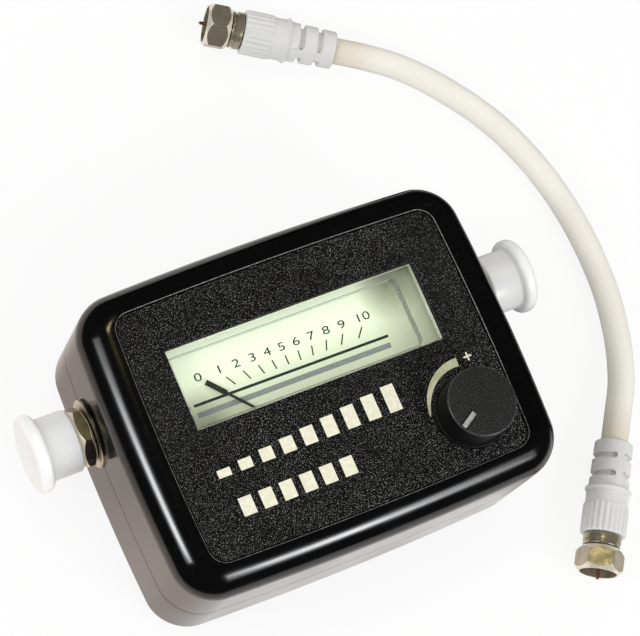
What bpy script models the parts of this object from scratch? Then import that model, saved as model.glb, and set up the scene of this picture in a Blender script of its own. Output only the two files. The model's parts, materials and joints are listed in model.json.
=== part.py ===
# Satellite signal meter: a two-shell case with a panel meter, one control knob,
# two F sockets with dust caps, and a short loose coaxial lead.
# Metres, +Z out of the face, +Y towards the window's side, +X along the length.
import math

import bmesh
import bpy
from mathutils import Matrix, Vector
from mathutils.geometry import interpolate_bezier

# Fits
FIT_GAP = 0.0003
RUNNING_GAP = 0.0001
STACK_GAP = 0.0002
CUT_OVERRUN = 0.002

# Case
CASE_LENGTH = 0.1051
CASE_WIDTH = 0.0803
SIDE_CROWN = 0.00138
CORNER_RADIUS = 0.0098
RIM_HEIGHT = 0.0447
CASE_WALL = 0.0024
RIM_ROUNDING = 0.0077
BACK_ROUNDING = 0.0038
FACE_WALL = 0.0022
FLOOR_WALL = 0.0024
CORNER_STEPS = 6
ROUNDING_STEPS = 4
INNER_ROUNDING_STEPS = 2

# Facets round a turned piece or hole
FINE_SIDES = 40
ROUND_SIDES = 28
SMALL_SIDES = 20
TINY_SIDES = 12
SMOOTH_DEG = 35.0
WELD_DISTANCE = 0.00001
EDGE_TOLERANCE = 0.00005

# Face plate
PLATE_END_MARGIN = 0.00915
PLATE_SIDE_MARGIN = 0.0076
PLATE_CROWN = 0.0008
PLATE_CORNER_RADIUS = 0.0036
PLATE_THICKNESS = 0.001
PLATE_DROP = 0.0003

# Window and panel meter
WINDOW_LENGTH = 0.0670
WINDOW_WIDTH = 0.0210
WINDOW_X = -0.0005
WINDOW_Y = 0.0100
COVER_DROP = 0.0007
COVER_WALL = 0.0016
METER_WIDTH = 0.0496
METER_STEM_LENGTH = 0.0350
METER_OVERHANG = 0.0032
DIAL_DEPTH = 0.0072
DIAL_THICKNESS = 0.0006
METER_BASE_DEPTH = 0.0112
METER_BASE_WALL = 0.0016
PIVOT_X = -0.0040
PIVOT_Y = -0.0138
NEEDLE_LENGTH = 0.0330
NEEDLE_LIFT = 0.0008
NEEDLE_THICKNESS = 0.0004
NEEDLE_WIDTH = 0.0006
NEEDLE_TIP_WIDTH = 0.0013
NEEDLE_TIP_LENGTH = 0.0058
NEEDLE_HUB_RADIUS = 0.0018
NEEDLE_TAIL_LENGTH = 0.0052
NEEDLE_ZERO_DEG = 41.6
YOKE_RADIUS = 0.0096
YOKE_WALL = 0.0020
YOKE_HEIGHT = 0.0070
YOKE_ARM_WIDTH = 0.0024
CORE_RADIUS = 0.0048
CORE_HEIGHT = 0.0042
COIL_BAR = 0.0008
COIL_WIDTH = 0.0030
SPINDLE_RADIUS = 0.0005
BRIDGE_THICKNESS = 0.0007
BRIDGE_WIDTH = 0.0030
TERMINAL_RADIUS = 0.0008
TERMINAL_HEAD_RADIUS = 0.0016
TERMINAL_HEAD_HEIGHT = 0.0010
TERMINAL_CLEARANCE = 0.0020
TERMINAL_LENGTH = 0.0054
LAMP_RADIUS = 0.0015
LAMP_HEIGHT = 0.0052
LAMP_FLANGE_RADIUS = 0.0019
LAMP_FLANGE_HEIGHT = 0.0008

# Control and knob
KNOB_END_INSET = 0.02175
KNOB_SIDE_INSET = 0.02035
KNOB_RADIUS = 0.00875
KNOB_SKIRT_RADIUS = 0.0093
KNOB_SKIRT_HEIGHT = 0.0012
KNOB_HEIGHT = 0.0101
KNOB_CHAMFER = 0.0006
KNOB_FLOOR_GAP = 0.0005
KNOB_RECESS_RADIUS = 0.0068
KNOB_RECESS_HEIGHT = 0.0026
KNOB_REST_DEG = 211.0
POINTER_INNER_REACH = 0.0038
POINTER_WIDTH = 0.0012
POINTER_HEIGHT = 0.0010
POINTER_PROUD = 0.0004
SHAFT_RADIUS = 0.0030
SHAFT_TOP_COVER = 0.0016
BUSHING_RADIUS = 0.0041
POT_RADIUS = 0.0080
POT_HEIGHT = 0.0088
POT_BASE_WALL = 0.0015
POT_LUG_WIDTH = 0.0100
POT_LUG_REACH = 0.0032
POT_LUG_THICKNESS = 0.0016
RIBBON_WIDTH = 0.0060
RIBBON_THICKNESS = 0.0010
RIBBON_DROP = 0.0064
RIBBON_FOOT_REACH = 0.0060
RIBBON_BEND = 0.0030
POT_NUT_FLATS = 0.0100
POT_NUT_HEIGHT = 0.0016
POT_WASHER_RADIUS = 0.0060
POT_WASHER_HEIGHT = 0.0005

# Circuit board
BOARD_END_MARGIN = 0.01055
BOARD_SIDE_MARGIN = 0.01365
BOARD_THICKNESS = 0.0016
BOARD_POST_RADIUS = 0.0032
BOARD_POST_END_INSET = 0.0060
BOARD_POST_SIDE_INSET = 0.0050
BOARD_SCREW_RADIUS = 0.0012
BOARD_SCREW_HEAD_RADIUS = 0.0024
BOARD_SCREW_HEAD_HEIGHT = 0.0015
BOARD_SCREW_LENGTH = 0.0080
CHIP_LENGTH = 0.0088
CHIP_WIDTH = 0.0062
CHIP_HEIGHT = 0.0018
CHIP_X = -0.0060
CHIP_Y = -0.0040
CAPACITOR_RADIUS = 0.0025
CAPACITOR_HEIGHT = 0.0046
CAPACITOR_BEVEL = 0.0004
CAPACITOR_X = 0.0120
CAPACITOR_Y = -0.0060
CHOKE_RADIUS = 0.0030
CHOKE_WAIST_RADIUS = 0.0020
CHOKE_FLANGE_HEIGHT = 0.0008
CHOKE_HEIGHT = 0.0040
CHOKE_X = 0.0020
CHOKE_Y = 0.0110

# Case screws
SCREW_END_INSET = 0.00935
SCREW_SIDE_INSET = 0.00895
SCREW_RADIUS = 0.0015
SCREW_HEAD_RADIUS = 0.0028
SCREW_HEAD_HEIGHT = 0.0022
SCREW_BITE = 0.0086
SCREW_SEAT_HEIGHT = 0.0050
SCREW_SLOT_WIDTH = 0.0008
SCREW_SLOT_LENGTH = 0.0036
SCREW_SLOT_DEPTH = 0.0012
BOSS_RADIUS = 0.0044

# F sockets and dust caps
SOCKET_Y = 0.0123
THREAD_RADIUS = 0.00475
SOCKET_WALL = 0.0012
SOCKET_REACH_IN = 0.0080
SOCKET_REACH_OUT = 0.0126
SOCKET_FLANGE_RADIUS = 0.0066
SOCKET_FLANGE_THICKNESS = 0.0020
SOCKET_MOUTH_CHAMFER = 0.0004
INSULATOR_LENGTH = 0.0110
INSULATOR_RECESS = 0.0012
CONTACT_RADIUS = 0.0004
CONTACT_REACH = 0.0030
CONTACT_RECESS = 0.0040
SOCKET_NUT_FLATS = 0.0140
SOCKET_NUT_THICKNESS = 0.0038
SOCKET_NUT_TURN_DEG = 39.5
WASHER_RADIUS = 0.0088
WASHER_THICKNESS = 0.0006
CAP_RADIUS = 0.0079
CAP_SKIRT_WALL = 0.0010
CAP_SLEEVE_WALL = 0.0010
CAP_LENGTH = 0.0115
CAP_END_WALL = 0.0022
CAP_FLANGE_RADIUS = 0.0098
CAP_FLANGE_THICKNESS = 0.0036
CAP_ROUNDING = 0.0014
CAP_ROUNDING_STEPS = 2
CAP_SLEEVE_RECESS = 0.0006

# Loose lead
CABLE_RADIUS = 0.00355
LEAD_AXIS_HEIGHT = 0.0064
PLUG_NUT_FLATS = 0.0110
PLUG_NUT_LENGTH = 0.0066
PLUG_NUT_LIP = 0.0014
PLUG_NUT_BORE_RADIUS = 0.00475
PIN_RADIUS = 0.0005
PIN_PROUD = 0.0017
PIN_SEAT_DEPTH = 0.0024
PLUG_FLANGE_RADIUS = 0.0043
PLUG_FLANGE_THICKNESS = 0.0010
PLUG_NECK_RADIUS = 0.0031
PLUG_COLLAR_RADIUS = 0.0050
PLUG_COLLAR_LENGTH = 0.0030
PLUG_COLLAR_BEVEL = 0.0004
FERRULE_RADIUS = 0.0040
FERRULE_LENGTH = 0.0095
BOOT_GRIP_RADIUS = 0.0060
BOOT_GRIP_LENGTH = 0.0078
BOOT_RIB_COUNT = 12
BOOT_RIB_DEPTH = 0.0004
RIB_SHARES = (0.0, 0.22, 0.72, 0.94)
BOOT_NECK_RADIUS = 0.0056
BOOT_NECK_LENGTH = 0.0034
BOOT_RING_RADIUS = 0.0061
BOOT_RING_LENGTH = 0.0014
RELIEF_RADIUS = 0.0053
RELIEF_END_RADIUS = 0.0050
RELIEF_LENGTH = 0.0124
RELIEF_CORE_RADIUS = 0.0040
RELIEF_SLOT_COUNT = 2
RELIEF_SLOT_LENGTH = 0.0016
RELIEF_SLOT_FIRST = 0.0023
RELIEF_SLOT_PITCH = 0.0049
RELIEF_SPINE_DEG = 24.0
RELIEF_SLOT_STEPS = 9
PLUG_A_TIP = (0.0211, 0.1085)
PLUG_A_DEG = -30.8
PLUG_A_NUT_ROLL = -10.0
PLUG_A_SPINE_DEG = 143.0
PLUG_B_TIP = (0.0592, -0.0671)
PLUG_B_DEG = 56.6
PLUG_B_NUT_ROLL = -9.0
PLUG_B_SPINE_DEG = 98.0
CABLE_STRAIGHT = 0.0085
CABLE_POINTS = 34
CURVE_STEPS = 24
CABLE_BEVEL_STEPS = 3
# Points along the table: x, y and how far the cable is lifted off it
CABLE_ROUTE = (
    (0.0679, 0.0801, 0.0019), (0.0746, 0.0743, 0.0010), (0.0801, 0.0682, 0.0003), (0.0852, 0.0613, 0.0),
    (0.0893, 0.0539, 0.0), (0.0926, 0.0457, 0.0), (0.0951, 0.0373, 0.0), (0.0967, 0.0289, 0.0),
    (0.0976, 0.0200, 0.0), (0.0977, 0.0113, 0.0), (0.0970, 0.0028, 0.0003), (0.0952, -0.0059, 0.0008),
    (0.0925, -0.0142, 0.0015), (0.0888, -0.0222, 0.0022),
)

# Derived places on the case
HALF_LENGTH = CASE_LENGTH / 2
HALF_WIDTH = CASE_WIDTH / 2
PLATE_LENGTH = CASE_LENGTH - 2 * PLATE_END_MARGIN
PLATE_WIDTH = CASE_WIDTH - 2 * PLATE_SIDE_MARGIN
KNOB_X = HALF_LENGTH - KNOB_END_INSET
KNOB_Y = KNOB_SIDE_INSET - HALF_WIDTH
RIBBON_DROP_Y = KNOB_Y - RIBBON_DROP
PLATE_TOP = RIM_HEIGHT - PLATE_DROP
PLATE_BOTTOM = PLATE_TOP - PLATE_THICKNESS
RECESS_FLOOR = PLATE_BOTTOM - FIT_GAP
CEILING = RECESS_FLOOR - FACE_WALL
METER_TOP = CEILING - FIT_GAP
DIAL_TOP = PLATE_TOP - DIAL_DEPTH
DIAL_BOTTOM = DIAL_TOP - DIAL_THICKNESS
BASE_TOP = DIAL_BOTTOM - FIT_GAP
BASE_BOTTOM = BASE_TOP - METER_BASE_DEPTH
BASE_FLOOR = BASE_BOTTOM + METER_BASE_WALL
METER_LENGTH = WINDOW_LENGTH + 2 * METER_OVERHANG
METER_TOP_Y = WINDOW_Y + WINDOW_WIDTH / 2 + METER_OVERHANG
METER_HEAD_Y = WINDOW_Y - WINDOW_WIDTH / 2 - METER_OVERHANG
METER_BOTTOM_Y = METER_TOP_Y - METER_WIDTH
BOARD_TOP = BASE_BOTTOM - TERMINAL_LENGTH
BOARD_BOTTOM = BOARD_TOP - BOARD_THICKNESS
BOARD_LENGTH = CASE_LENGTH - 2 * BOARD_END_MARGIN
BOARD_WIDTH = CASE_WIDTH - 2 * BOARD_SIDE_MARGIN
BOARD_POST_X = BOARD_LENGTH / 2 - BOARD_POST_END_INSET
BOARD_POST_Y = BOARD_WIDTH / 2 - BOARD_POST_SIDE_INSET
PARTING_HEIGHT = BOARD_TOP + CONTACT_RADIUS + FIT_GAP
SCREW_X = HALF_LENGTH - SCREW_END_INSET
SCREW_Y = HALF_WIDTH - SCREW_SIDE_INSET
SCREW_LENGTH = PARTING_HEIGHT + SCREW_BITE - SCREW_SEAT_HEIGHT
BORE_CLEARANCE = FIT_GAP


def clear_scene():
    for item in list(bpy.data.objects):
        bpy.data.objects.remove(item, do_unlink=True)


def make_collection(name):
    collection = bpy.data.collections.new(name)
    bpy.context.scene.collection.children.link(collection)
    return collection


def make_material(name, colour, roughness, metallic=0.0, transmission=0.0):
    material = bpy.data.materials.new(name)
    material.use_nodes = True
    shader = material.node_tree.nodes["Principled BSDF"]
    shader.inputs["Base Color"].default_value = (*colour, 1.0)
    shader.inputs["Roughness"].default_value = roughness
    shader.inputs["Metallic"].default_value = metallic
    shader.inputs["Transmission Weight"].default_value = transmission
    return material


clear_scene()
PARTS = make_collection("satellite_signal_meter")
CUTTERS = make_collection("cutters")

BLACK_GLOSS = make_material("black_gloss", (0.012, 0.012, 0.013), 0.12)
BLACK_GRAIN = make_material("black_grain", (0.016, 0.016, 0.016), 0.6)
BLACK_SATIN = make_material("black_satin", (0.014, 0.014, 0.015), 0.4)
POINTER_GREY = make_material("pointer_grey", (0.4, 0.4, 0.4), 0.5)
CLEAR_PLASTIC = make_material("clear_plastic", (0.95, 0.97, 0.93), 0.05, 0.0, 0.95)
DIAL_CREAM = make_material("dial_cream", (0.80, 0.85, 0.66), 0.7)
NICKEL = make_material("nickel", (0.66, 0.63, 0.56), 0.22, 1.0)
COPPER = make_material("copper", (0.75, 0.42, 0.20), 0.3, 1.0)
BRASS = make_material("brass", (0.72, 0.56, 0.28), 0.3, 1.0)
STEEL = make_material("steel", (0.55, 0.55, 0.56), 0.35, 1.0)
MAGNET_GREY = make_material("magnet_grey", (0.10, 0.10, 0.11), 0.5, 0.6)
INSULATOR_WHITE = make_material("insulator_white", (0.85, 0.85, 0.83), 0.5)
CAP_MILKY = make_material("cap_milky", (0.86, 0.86, 0.85), 0.45, 0.0, 0.3)
BOARD_GREEN = make_material("board_green", (0.03, 0.19, 0.07), 0.5)
RIBBON_GREY = make_material("ribbon_grey", (0.45, 0.45, 0.47), 0.5)
CABLE_IVORY = make_material("cable_ivory", (0.78, 0.72, 0.60), 0.45)
BOOT_WHITE = make_material("boot_white", (0.72, 0.72, 0.70), 0.5)


def add_object(name, bm, material, collection=None):
    mesh = bpy.data.meshes.new(name)
    bmesh.ops.recalc_face_normals(bm, faces=bm.faces)
    bm.to_mesh(mesh)
    bm.free()
    if material is not None:
        mesh.materials.append(material)
    item = bpy.data.objects.new(name, mesh)
    (collection or PARTS).objects.link(item)
    return item


def shade_round(item):
    item.data.shade_smooth()
    item.data.set_sharp_from_angle(angle=math.radians(SMOOTH_DEG))


def as_cutter(item):
    for collection in list(item.users_collection):
        collection.objects.unlink(item)
    CUTTERS.objects.link(item)
    item.hide_render = True
    item.display_type = "WIRE"
    return item


def boolean(target, tool, operation):
    as_cutter(tool)
    modifier = target.modifiers.new(tool.name, "BOOLEAN")
    modifier.operation = operation
    modifier.solver = "EXACT"
    modifier.object = tool


def cut(target, tool):
    boolean(target, tool, "DIFFERENCE")


def fuse(target, tool):
    boolean(target, tool, "UNION")


def box(name, size, centre, material=None):
    bm = bmesh.new()
    matrix = Matrix.Translation(centre) @ Matrix.Diagonal((*size, 1.0))
    bmesh.ops.create_cube(bm, size=1.0, matrix=matrix)
    return add_object(name, bm, material)


def cylinder(name, radius, bottom, top, centre=(0.0, 0.0), material=None, sides=ROUND_SIDES):
    bm = bmesh.new()
    matrix = Matrix.Translation((centre[0], centre[1], (bottom + top) / 2))
    bmesh.ops.create_cone(
        bm, cap_ends=True, segments=sides, radius1=radius, radius2=radius,
        depth=top - bottom, matrix=matrix)
    item = add_object(name, bm, material)
    shade_round(item)
    return item


def prism(name, outline, bottom, top, material=None):
    bm = bmesh.new()
    face = bm.faces.new([bm.verts.new((x, y, bottom)) for x, y in outline])
    raised = bmesh.ops.extrude_face_region(bm, geom=[face])
    verts = [part for part in raised["geom"] if isinstance(part, bmesh.types.BMVert)]
    bmesh.ops.translate(bm, verts=verts, vec=(0.0, 0.0, top - bottom))
    return add_object(name, bm, material)


def round_edges_at(item, height, radius, steps):
    bm = bmesh.new()
    bm.from_mesh(item.data)
    edges = [edge for edge in bm.edges if all(abs(v.co.z - height) < EDGE_TOLERANCE for v in edge.verts)]
    bmesh.ops.bevel(
        bm, geom=edges, offset=radius, offset_type="OFFSET", segments=steps, profile=0.5,
        affect="EDGES", clamp_overlap=True)
    bmesh.ops.recalc_face_normals(bm, faces=bm.faces)
    bm.to_mesh(item.data)
    bm.free()


def turned(name, profile, material=None, sides=ROUND_SIDES):
    # The profile holds (radius, height) pairs and runs down the outer side.
    bm = bmesh.new()
    verts = [bm.verts.new((radius, 0.0, height)) for radius, height in profile]
    for upper, lower in zip(verts[:-1], verts[1:]):
        bm.edges.new((upper, lower))
    if profile[0][0] > 0 or profile[-1][0] > 0:
        bm.edges.new((verts[-1], verts[0]))
    mesh = bpy.data.meshes.new(name)
    bm.to_mesh(mesh)
    bm.free()
    if material is not None:
        mesh.materials.append(material)
    item = bpy.data.objects.new(name, mesh)
    PARTS.objects.link(item)
    screw = item.modifiers.new("turn", "SCREW")
    screw.axis = "Z"
    screw.angle = math.tau
    screw.steps = sides
    screw.render_steps = sides
    screw.use_merge_vertices = True
    screw.merge_threshold = WELD_DISTANCE
    screw.use_smooth_shade = True
    return item


def hexagon(flats, turn_deg=0.0):
    reach = flats / math.sqrt(3.0)
    angles = [math.radians(60.0 * corner + turn_deg) for corner in range(6)]
    return [(reach * math.cos(angle), reach * math.sin(angle)) for angle in angles]


def crowned_outline(length, width, radius, crown):
    # A rounded rectangle whose four sides bow outwards by the crown.
    half_x = length / 2 - crown
    half_y = width / 2 - crown
    centres = ((1, 1, 0.0), (-1, 1, 90.0), (-1, -1, 180.0), (1, -1, 270.0))
    corners = []
    for side_x, side_y, start in centres:
        arc = []
        for step in range(CORNER_STEPS + 1):
            angle = math.radians(start + 90.0 * step / CORNER_STEPS)
            arc.append((
                side_x * (half_x - radius) + radius * math.cos(angle),
                side_y * (half_y - radius) + radius * math.sin(angle)))
        corners.append(arc)
    plain = []
    for arc, following in zip(corners, corners[1:] + corners[:1]):
        plain += arc
        first, last = Vector(arc[-1]), Vector(following[0])
        for step in range(1, CORNER_STEPS):
            plain.append(tuple(first.lerp(last, step / CORNER_STEPS)))
    bowed = []
    for x, y in plain:
        bowed_x = x + crown * (1 - (y / half_y) ** 2) * x / half_x
        bowed_y = y + crown * (1 - (x / half_x) ** 2) * y / half_y
        bowed.append((bowed_x, bowed_y))
    return bowed


def along_x(item, centre, side):
    # Turns a piece built along +Z to point along +X or -X.
    item.matrix_world = Matrix.Translation(centre) @ Matrix.Rotation(side * math.pi / 2, 4, "Y")
    return item


# Case shells
def case_block(name, bottom, top, inset):
    outline = crowned_outline(
        CASE_LENGTH - 2 * inset, CASE_WIDTH - 2 * inset, CORNER_RADIUS - inset, SIDE_CROWN)
    return prism(name, outline, bottom, top)


def screw_places():
    return [(x, y) for x in (-SCREW_X, SCREW_X) for y in (-SCREW_Y, SCREW_Y)]


def board_post_places():
    return [(-BOARD_POST_X, -BOARD_POST_Y), (BOARD_POST_X, BOARD_POST_Y)]


def socket_bore(name):
    bore = cylinder(name, THREAD_RADIUS + BORE_CLEARANCE, -CASE_LENGTH, CASE_LENGTH)
    return along_x(bore, (0.0, SOCKET_Y, PARTING_HEIGHT), 1)


def make_front_case():
    bottom = PARTING_HEIGHT + FIT_GAP / 2
    case = case_block("front_case", bottom, RIM_HEIGHT, 0.0)
    round_edges_at(case, RIM_HEIGHT, RIM_ROUNDING, ROUNDING_STEPS)
    case.data.materials.append(BLACK_GLOSS)
    hollow = case_block("front_hollow", bottom - CUT_OVERRUN, CEILING, CASE_WALL)
    round_edges_at(hollow, CEILING, RIM_ROUNDING - CASE_WALL, ROUNDING_STEPS)
    cut(case, hollow)
    recess = crowned_outline(
        PLATE_LENGTH + 2 * FIT_GAP, PLATE_WIDTH + 2 * FIT_GAP, PLATE_CORNER_RADIUS + FIT_GAP, PLATE_CROWN)
    cut(case, prism("plate_recess", recess, RECESS_FLOOR, RIM_HEIGHT + CUT_OVERRUN))
    for number, place in enumerate(screw_places(), 1):
        fuse(case, cylinder(f"front_boss_{number}", BOSS_RADIUS, bottom, CEILING + FACE_WALL / 2, place))
    for number, place in enumerate(screw_places(), 1):
        low = bottom - CUT_OVERRUN
        high = SCREW_SEAT_HEIGHT + SCREW_LENGTH + CUT_OVERRUN
        radius = SCREW_RADIUS + BORE_CLEARANCE
        cut(case, cylinder(f"front_pilot_{number}", radius, low, high, place, sides=TINY_SIDES))
    window_size = (WINDOW_LENGTH, WINDOW_WIDTH, RIM_HEIGHT)
    cut(case, box("case_window", window_size, (WINDOW_X, WINDOW_Y, RIM_HEIGHT)))
    control = (KNOB_X, KNOB_Y)
    hole_radius = BUSHING_RADIUS + BORE_CLEARANCE
    cut(case, cylinder("case_control_hole", hole_radius, CEILING - CUT_OVERRUN, RIM_HEIGHT, control))
    cut(case, socket_bore("front_socket_bore"))
    return case


def make_back_case():
    top = PARTING_HEIGHT - FIT_GAP / 2
    case = case_block("back_case", 0.0, top, 0.0)
    round_edges_at(case, 0.0, BACK_ROUNDING, ROUNDING_STEPS)
    case.data.materials.append(BLACK_GLOSS)
    hollow = case_block("back_hollow", FLOOR_WALL, top + CUT_OVERRUN, CASE_WALL)
    round_edges_at(hollow, FLOOR_WALL, BACK_ROUNDING - CASE_WALL, INNER_ROUNDING_STEPS)
    cut(case, hollow)
    for number, place in enumerate(screw_places(), 1):
        fuse(case, cylinder(f"back_boss_{number}", BOSS_RADIUS, FLOOR_WALL / 2, top, place))
    post_top = BOARD_BOTTOM - FIT_GAP
    for number, place in enumerate(board_post_places(), 1):
        fuse(case, cylinder(f"board_post_{number}", BOARD_POST_RADIUS, FLOOR_WALL / 2, post_top, place))
    for number, place in enumerate(screw_places(), 1):
        way_radius = SCREW_RADIUS + BORE_CLEARANCE
        way_top = top + CUT_OVERRUN
        cut(case, cylinder(f"back_way_{number}", way_radius, FLOOR_WALL, way_top, place, sides=TINY_SIDES))
        well_radius = SCREW_HEAD_RADIUS + BORE_CLEARANCE
        well_top = SCREW_SEAT_HEIGHT
        well = cylinder(f"head_well_{number}", well_radius, -CUT_OVERRUN, well_top, place, sides=SMALL_SIDES)
        cut(case, well)
    for number, place in enumerate(board_post_places(), 1):
        radius = BOARD_SCREW_RADIUS + BORE_CLEARANCE
        pilot = BOARD_TOP - BOARD_SCREW_LENGTH - CUT_OVERRUN
        cut(case, cylinder(f"board_pilot_{number}", radius, pilot, top, place, sides=TINY_SIDES))
    cut(case, socket_bore("back_socket_bore"))
    return case


def make_face_plate():
    outline = crowned_outline(PLATE_LENGTH, PLATE_WIDTH, PLATE_CORNER_RADIUS, PLATE_CROWN)
    plate = prism("face_plate", outline, PLATE_BOTTOM, PLATE_TOP, BLACK_GRAIN)
    window_size = (WINDOW_LENGTH, WINDOW_WIDTH, 2 * CUT_OVERRUN)
    cut(plate, box("plate_window", window_size, (WINDOW_X, WINDOW_Y, PLATE_BOTTOM)))
    control = (KNOB_X, KNOB_Y)
    radius = BUSHING_RADIUS + BORE_CLEARANCE
    cut(plate, cylinder("plate_control_hole", radius, CEILING, RIM_HEIGHT, control))
    return plate


def make_case_screws():
    for number, (x, y) in enumerate(screw_places(), 1):
        head_top = SCREW_SEAT_HEIGHT - FIT_GAP
        head_bottom = head_top - SCREW_HEAD_HEIGHT
        tip = SCREW_SEAT_HEIGHT + SCREW_LENGTH
        profile = [
            (0.0, tip), (SCREW_RADIUS, tip), (SCREW_RADIUS, head_top), (SCREW_HEAD_RADIUS, head_top),
            (SCREW_HEAD_RADIUS, head_bottom), (0.0, head_bottom)]
        screw = turned(f"case_screw_{number}", profile, STEEL, SMALL_SIDES)
        screw.location = (x, y, 0.0)
        long_slot = (SCREW_SLOT_LENGTH, SCREW_SLOT_WIDTH, 2 * SCREW_SLOT_DEPTH)
        cross_slot = (SCREW_SLOT_WIDTH, SCREW_SLOT_LENGTH, 2 * SCREW_SLOT_DEPTH)
        cut(screw, box(f"screw_long_slot_{number}", long_slot, (x, y, head_bottom)))
        cut(screw, box(f"screw_cross_slot_{number}", cross_slot, (x, y, head_bottom)))


# Panel meter. Its head is as wide as the window and its stem carries the movement.
def meter_outline(inset):
    left = WINDOW_X - METER_LENGTH / 2 + inset
    right = WINDOW_X + METER_LENGTH / 2 - inset
    stem_left = PIVOT_X - METER_STEM_LENGTH / 2 + inset
    stem_right = PIVOT_X + METER_STEM_LENGTH / 2 - inset
    top, middle, bottom = METER_TOP_Y - inset, METER_HEAD_Y + inset, METER_BOTTOM_Y + inset
    return [
        (left, top), (left, middle), (stem_left, middle), (stem_left, bottom), (stem_right, bottom),
        (stem_right, middle), (right, middle), (right, top)]


def make_meter_cover():
    bottom = DIAL_TOP - DIAL_THICKNESS
    cover = prism("meter_cover", meter_outline(0.0), bottom, METER_TOP, CLEAR_PLASTIC)
    boss_top = PLATE_TOP - COVER_DROP
    boss_length = WINDOW_LENGTH - 2 * FIT_GAP
    boss_width = WINDOW_WIDTH - 2 * FIT_GAP
    boss_size = (boss_length, boss_width, boss_top - METER_TOP + COVER_WALL)
    boss_middle = (boss_top + METER_TOP - COVER_WALL) / 2
    fuse(cover, box("cover_boss", boss_size, (WINDOW_X, WINDOW_Y, boss_middle)))
    inner_top = METER_TOP - COVER_WALL
    cut(cover, prism("cover_hollow", meter_outline(COVER_WALL), bottom - CUT_OVERRUN, inner_top))
    light_top = boss_top - COVER_WALL
    light_size = (boss_length - 2 * COVER_WALL, boss_width - 2 * COVER_WALL, light_top - bottom)
    cut(cover, box("cover_light_well", light_size, (WINDOW_X, WINDOW_Y, (light_top + bottom) / 2)))
    return cover


def make_dial_plate():
    dial = prism("dial_plate", meter_outline(COVER_WALL + FIT_GAP), DIAL_BOTTOM, DIAL_TOP, DIAL_CREAM)
    radius = NEEDLE_HUB_RADIUS + NEEDLE_LIFT
    cut(dial, cylinder("spindle_way", radius, BASE_TOP, METER_TOP, (PIVOT_X, PIVOT_Y)))
    return dial


def make_meter_base():
    base = prism("meter_base", meter_outline(0.0), BASE_BOTTOM, BASE_TOP, BLACK_SATIN)
    cut(base, prism("base_hollow", meter_outline(METER_BASE_WALL), BASE_FLOOR, BASE_TOP + CUT_OVERRUN))
    bearing = SPINDLE_RADIUS + RUNNING_GAP
    pivot = (PIVOT_X, PIVOT_Y)
    low = BASE_BOTTOM - CUT_OVERRUN
    cut(base, cylinder("lower_bearing", bearing, low, BASE_TOP, pivot, sides=TINY_SIDES))
    for number, place in enumerate(terminal_places(), 1):
        radius = TERMINAL_RADIUS + FIT_GAP
        cut(base, cylinder(f"terminal_hole_{number}", radius, low, BASE_TOP, place, sides=TINY_SIDES))
    return base


def terminal_places():
    spread = YOKE_RADIUS + TERMINAL_HEAD_RADIUS + TERMINAL_CLEARANCE
    return [(PIVOT_X - spread, PIVOT_Y), (PIVOT_X + spread, PIVOT_Y)]


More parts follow.
